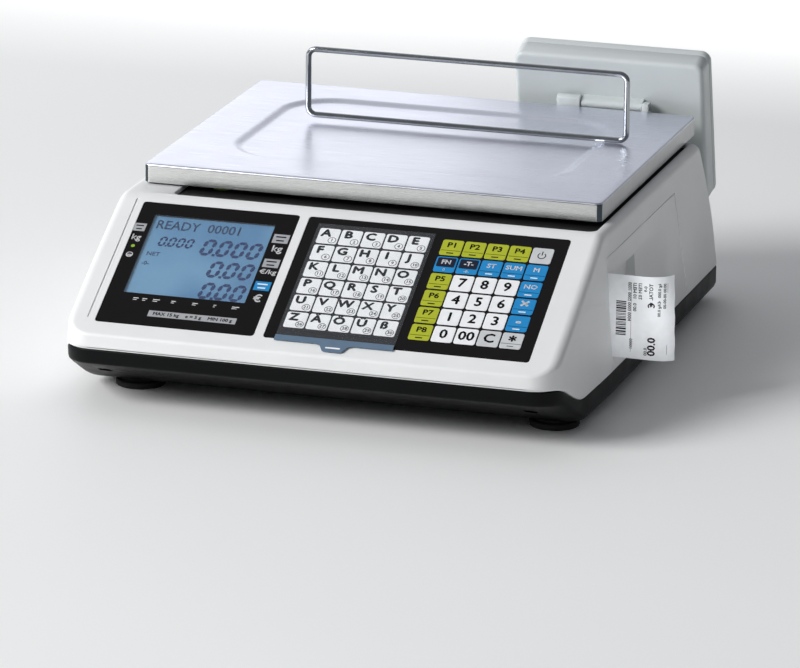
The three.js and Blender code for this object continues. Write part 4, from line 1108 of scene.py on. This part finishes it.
def build_receipt():
    bm = bmesh.new()
    sides = []
    for lift in (0, PAPER_THICK):
        grid = []
        for i in range(RECEIPT_STEPS + 1):
            row = []
            for j in range(RECEIPT_ROWS + 1):
                wave = 0.35 * math.sin(j * 1.9) if i == RECEIPT_STEPS else 0
                along = RECEIPT_LENGTH * i / RECEIPT_STEPS - wave - 0.4
                row.append(bm.verts.new(on_receipt(along, PAPER_LOW + RECEIPT_PITCH * j, lift)))
            grid.append(row)
        sides.append(grid)
    for grid in sides:
        for i in range(RECEIPT_STEPS):
            for j in range(RECEIPT_ROWS):
                bm.faces.new((grid[i][j], grid[i + 1][j], grid[i + 1][j + 1], grid[i][j + 1]))
    border = [(i, 0) for i in range(RECEIPT_STEPS)] + [(RECEIPT_STEPS, j) for j in range(RECEIPT_ROWS)]
    border += [(i, RECEIPT_ROWS) for i in range(RECEIPT_STEPS, 0, -1)]
    border += [(0, j) for j in range(RECEIPT_ROWS, 0, -1)]
    for (i, j), (k, l) in zip(border, border[1:] + border[:1]):
        bm.faces.new((sides[0][i][j], sides[0][k][l], sides[1][k][l], sides[1][i][j]))
    strip = solid(bm, "receipt_paper", DESIGN, "paper", "door", 60)
    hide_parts("receipt_strip")


def build_receipt_print():
    """Generic lines, a bar code and an amount, laid out flat and then wrapped onto the strip.
    Flat, the first axis runs down the strip's height and the second one back towards the slot."""
    ink = Ink("receipt_print", "print", "door", "thermal_paper", DESIGN, 0.02)
    rng = random.Random(7)
    down = 19.5
    while down < 45:
        width = rng.choice((0.45, 0.8, 1.2))
        ink.bar(down, down + width, -14.5, -7)
        down += width + rng.choice((0.5, 0.9))
    ink.bar(5, 57, -18.3, -18.1)
    lines = ((-17, 94, "0001 0002 0003 0004", 3.3), (-21, 94, "ITEM 01   0.00", 3.6),
             (-25, 94, "ITEM 02", 3.6), (-29, 92, "0-9", 3.2), (-33, 94, "TOTAL", 3.8),
             (-39, 94, "kg 0.000   €/kg 0.00", 3.0), (-43, 94, "00:00 00-00-00", 3.0),
             (-18.5, 52, "00001", 3.2), (-29.5, 46, "0.00", 3.4))
    for along, top, words, size in lines:
        ink.text(words, PAPER_HIGH - top, along, size, 0.02, "LEFT")
    ink.text("€", 21, -33.5, 6.5, 0.03)
    ink.text("0.00", 45, -34, 8, 0.035, "LEFT")
    ink.bar(5, 57, -45.2, -45)
    for vert in ink.bm.verts:
        flat = vert.co.copy()
        vert.co = on_receipt(PRINT_FROM - flat.y, PAPER_HIGH - flat.x, PAPER_THICK + flat.z)
    ink.done()


build_receipt()
build_receipt_print()


# ------------------------------------------------------------------ customer display
TILT = math.radians(13.5)
DISPLAY = (Matrix.Translation(at(103, 206, 146)) @ Matrix.Rotation(TILT, 4, "X") @ Matrix.Scale(MM, 4))
FACE, SPLIT, DEPTH = 6.7, 18.0, 28.0
CASING, CASING_CORNER, GLASS_HOLE = (-75.5, 75.5, -85, 36.5), 8, (-64, 64, -58, 24)


def standing_ring(depth, shrink, steps=8):
    """A level of the display's casing: its outline stands in XZ at a distance behind the face."""
    radius = max(CASING_CORNER - shrink, 1.5)
    return [(x, FACE + depth, z) for x, z in rounded(*shrunk(CASING, shrink), radius, steps)]


def build_display():
    edge, taper = 3.4, 0.7
    rows = [standing_ring(0, taper + edge + 0.6)]
    for i in range(7):
        angle = math.radians(90 * i / 6)
        rows.append(standing_ring(edge * (1 - math.cos(angle)), taper + edge * (1 - math.sin(angle))))
    rows += [standing_ring(edge + 0.6, taper), standing_ring(SPLIT - 0.4, 0.4), standing_ring(SPLIT, 0.8),
             standing_ring(SPLIT, 3), standing_ring(2.6, 4.6)]
    bm = ringed(rows)
    casing = solid(bm, "display_casing_front", DISPLAY, "grey", "customer_display", 50)
    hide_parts("display_front_cover")
    radius = 3.9
    lug = [(FACE + 0.2, radius), *[(radius * math.cos(math.radians(a)), radius * math.sin(math.radians(a)))
                                   for a in range(90, 271, 15)], (FACE + 0.2, -radius)]
    bm = ringed([[(x, y, z) for y, z in lug] for x in (-20, -19.6, 27.6, 28)])
    solid(bm, "display_lug", DISPLAY, "grey", "customer_display", 40)
    build_display_rear()


def build_display_rear():
    rows = ((SPLIT + 0.3, 3), (SPLIT + 0.3, 0.8), (SPLIT + 0.7, 0.4), (DEPTH - 4.6, 0), (DEPTH - 4, 0),
            (DEPTH - 2.4, 0.3), (DEPTH - 1, 1.1), (DEPTH - 0.3, 2.2), (DEPTH, 4), (DEPTH, 4.6))
    bm = ringed([standing_ring(depth, shrink) for depth, shrink in rows])
    hollow = ringed([standing_ring(SPLIT - 2, 3), standing_ring(DEPTH - 2.5, 4.2)])
    window = ringed([[(x, FACE + depth, z) for x, z in rounded(*shrunk(GLASS_HOLE, -grow), 2, 5)]
                     for depth, grow in ((SPLIT, 0), (DEPTH - 0.8, 0), (DEPTH, 0.8), (DEPTH + 5, 0.8))])
    turned = DESIGN.inverted() @ DISPLAY
    mesh = carve("display_casing_rear", temp_object(bm, turned),
                 [temp_object(hollow, turned), temp_object(window, turned)], 50)
    rear = new_object("display_casing_rear", mesh, "grey", "customer_display")
    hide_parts("display_rear_cover")


build_display()
refined("display_bracket", "display_arm", "grey", "chassis", lambda point: 0.8)
refined("display_glass", "customer_window", "smoke", "customer_display",
        lambda point: 0.2, 2)


def build_customer_digits():
    turn = DISPLAY @ Matrix.Translation((0, FACE + 22.4, 0)) @ Matrix.Rotation(math.pi, 4, "Z") @ \
        Matrix.Rotation(math.pi / 2, 4, "X")
    panel = plate(rounded(-60, 60, -56, 20, 2, 3), -1.0, 0)
    solid(panel, "customer_panel", turn, "lcd", "customer_display")
    ink = Ink("customer_digits", "ink", "customer_display", "display_window", turn, 0.05)
    for base, words in ((0, "0.000"), (-24, "0.00"), (-49, "0.00")):
        ink.digits(words, 48, base, 16)
    ink.done()


build_customer_digits()


# ------------------------------------------------------------------ feet
# A foot's levels: radius, height, and whether it is ribbed there.
FOOT_ROWS = ((0.4, 0.0, 0), (17.6, 0.0, 0), (18.3, 0.6, 1), (18.3, 3.8, 1), (17.4, 4.5, 0),
             (14.2, 4.6, 0), (13.6, 6.4, 0), (4.0, 6.5, 0), (4.0, 22.0, 0), (0.4, 22.0, 0))


def foot_ring(radius, z, ribbed, count=48):
    """One level of a foot. Where it is ribbed, every second point is set in."""
    ring = []
    for k in range(count):
        reach, angle = radius - 0.5 * ribbed * (k % 2), 2 * math.pi * k / count
        ring.append((reach * math.cos(angle), reach * math.sin(angle), z))
    return ring


def build_feet():
    for i in range(1, 5):
        low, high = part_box(f"foot_{i}")
        cx, cy = (low.x + high.x) / 2, (low.y + high.y) / 2
        bm = ringed([foot_ring(*row) for row in FOOT_ROWS])
        matrix = Matrix.Translation((cx, cy, 0)) @ Matrix.Scale(MM, 4)
        side = "left" if i % 2 else "right"
        end = "front" if i < 3 else "rear"
        foot = solid(bm, f"foot_{end}_{side}_pad", matrix, "rubber",
                     f"foot_{end}_{side}", 40)
        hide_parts(f"foot_{i}")


build_feet()


# ------------------------------------------------------------------ camera, light and floor
CAMERA = {"azimuth": 16.909, "elevation": 16.24, "roll": 0.622, "lens": 273.03,
          "place": (1267.1, -4163.24, 1277.18)}


def build_camera():
    a, e = math.radians(CAMERA["azimuth"]), math.radians(CAMERA["elevation"])
    back = Vector((math.sin(a) * math.cos(e), -math.cos(a) * math.cos(e), math.sin(e)))
    right = Vector((0, 0, 1)).cross(back).normalized()
    up = back.cross(right)
    matrix = Matrix((right, up, back)).transposed().to_4x4()
    matrix = matrix @ Matrix.Rotation(math.radians(CAMERA["roll"]), 4, "Z")
    matrix.translation = at(*CAMERA["place"])
    data = bpy.data.cameras.new("camera")
    data.lens = CAMERA["lens"]
    data.sensor_width = 36
    data.clip_end = 100
    camera = linked("camera", data)
    camera.matrix_world = matrix
    bpy.context.scene.camera = camera


def build_floor():
    bm = bmesh.new()
    bmesh.ops.create_grid(bm, x_segments=1, y_segments=1, size=12)
    mesh = bpy.data.meshes.new("floor")
    bm.to_mesh(mesh)
    bm.free()
    floor = linked("floor", mesh)
    shade = Shade("floor_pale", 0.6)
    shade.colour(shade.noise(400, 2), linear(249, 249, 248), linear(251, 251, 250))
    mesh.materials.append(shade.mat)


def area_light(name, place, target, size, power, spread=180):
    data = bpy.data.lights.new(name, "AREA")
    data.spread = math.radians(spread)
    data.shape = "RECTANGLE"
    data.size, data.size_y = size
    data.energy = power
    light = linked(name, data)
    light.location = place
    light.rotation_euler = (Vector(target) - Vector(place)).to_track_quat("-Z", "Y").to_euler()


def build_light():
    """A studio that is bright behind, above and to the left, and dim to the right and in front."""
    world = bpy.data.worlds.new("studio")
    world.use_nodes = True
    tree = world.node_tree
    background = tree.nodes["Background"]
    coords = tree.nodes.new("ShaderNodeTexCoord")
    towards = tree.nodes.new("ShaderNodeVectorMath")
    towards.operation = "DOT_PRODUCT"
    towards.inputs[1].default_value = Vector((-0.75, 0.6, 0.15)).normalized()
    ramp = tree.nodes.new("ShaderNodeValToRGB")
    stops = [(0.0, (0.16, 0.168, 0.18, 1)), (0.55, (0.16, 0.165, 0.172, 1)),
             (0.65, (0.22, 0.226, 0.235, 1)), (0.8, (0.48, 0.49, 0.51, 1)), (0.95, (0.72, 0.74, 0.78, 1))]
    fill_ramp(ramp, stops)
    spread = tree.nodes.new("ShaderNodeMapRange")
    spread.inputs["From Min"].default_value = -1
    path = tree.nodes.new("ShaderNodeLightPath")
    seen = tree.nodes.new("ShaderNodeMix")
    seen.data_type = "RGBA"
    seen.inputs["B"].default_value = (1, 1, 0.985, 1)
    tree.links.new(coords.outputs["Generated"], towards.inputs[0])
    tree.links.new(towards.outputs["Value"], spread.inputs["Value"])
    tree.links.new(spread.outputs["Result"], ramp.inputs["Fac"])
    tree.links.new(ramp.outputs["Color"], seen.inputs["A"])
    tree.links.new(path.outputs["Is Camera Ray"], seen.inputs["Factor"])
    tree.links.new(seen.outputs["Result"], background.inputs["Color"])
    bpy.context.scene.world = world
    area_light("key", (-3.8, -3.4, 3.2), (0, 0, 0.1), (3.0, 2.4), 330)
    area_light("sheen", (-0.75, 1.15, 0.5), (-0.1, 0.05, 0.14), (0.9, 0.5), 1.0)
    area_light("backdrop", (0.2, 1.5, 1.0), (0.2, 2.8, 0), (2.4, 1.2), 32)
    area_light("kicker", (0.5, -1.1, 0.12), (0.195, -0.1, 0.065), (0.05, 0.05), 0.006, 5)


build_camera()
build_floor()
build_light()
bpy.context.scene.view_settings.view_transform = "Standard"
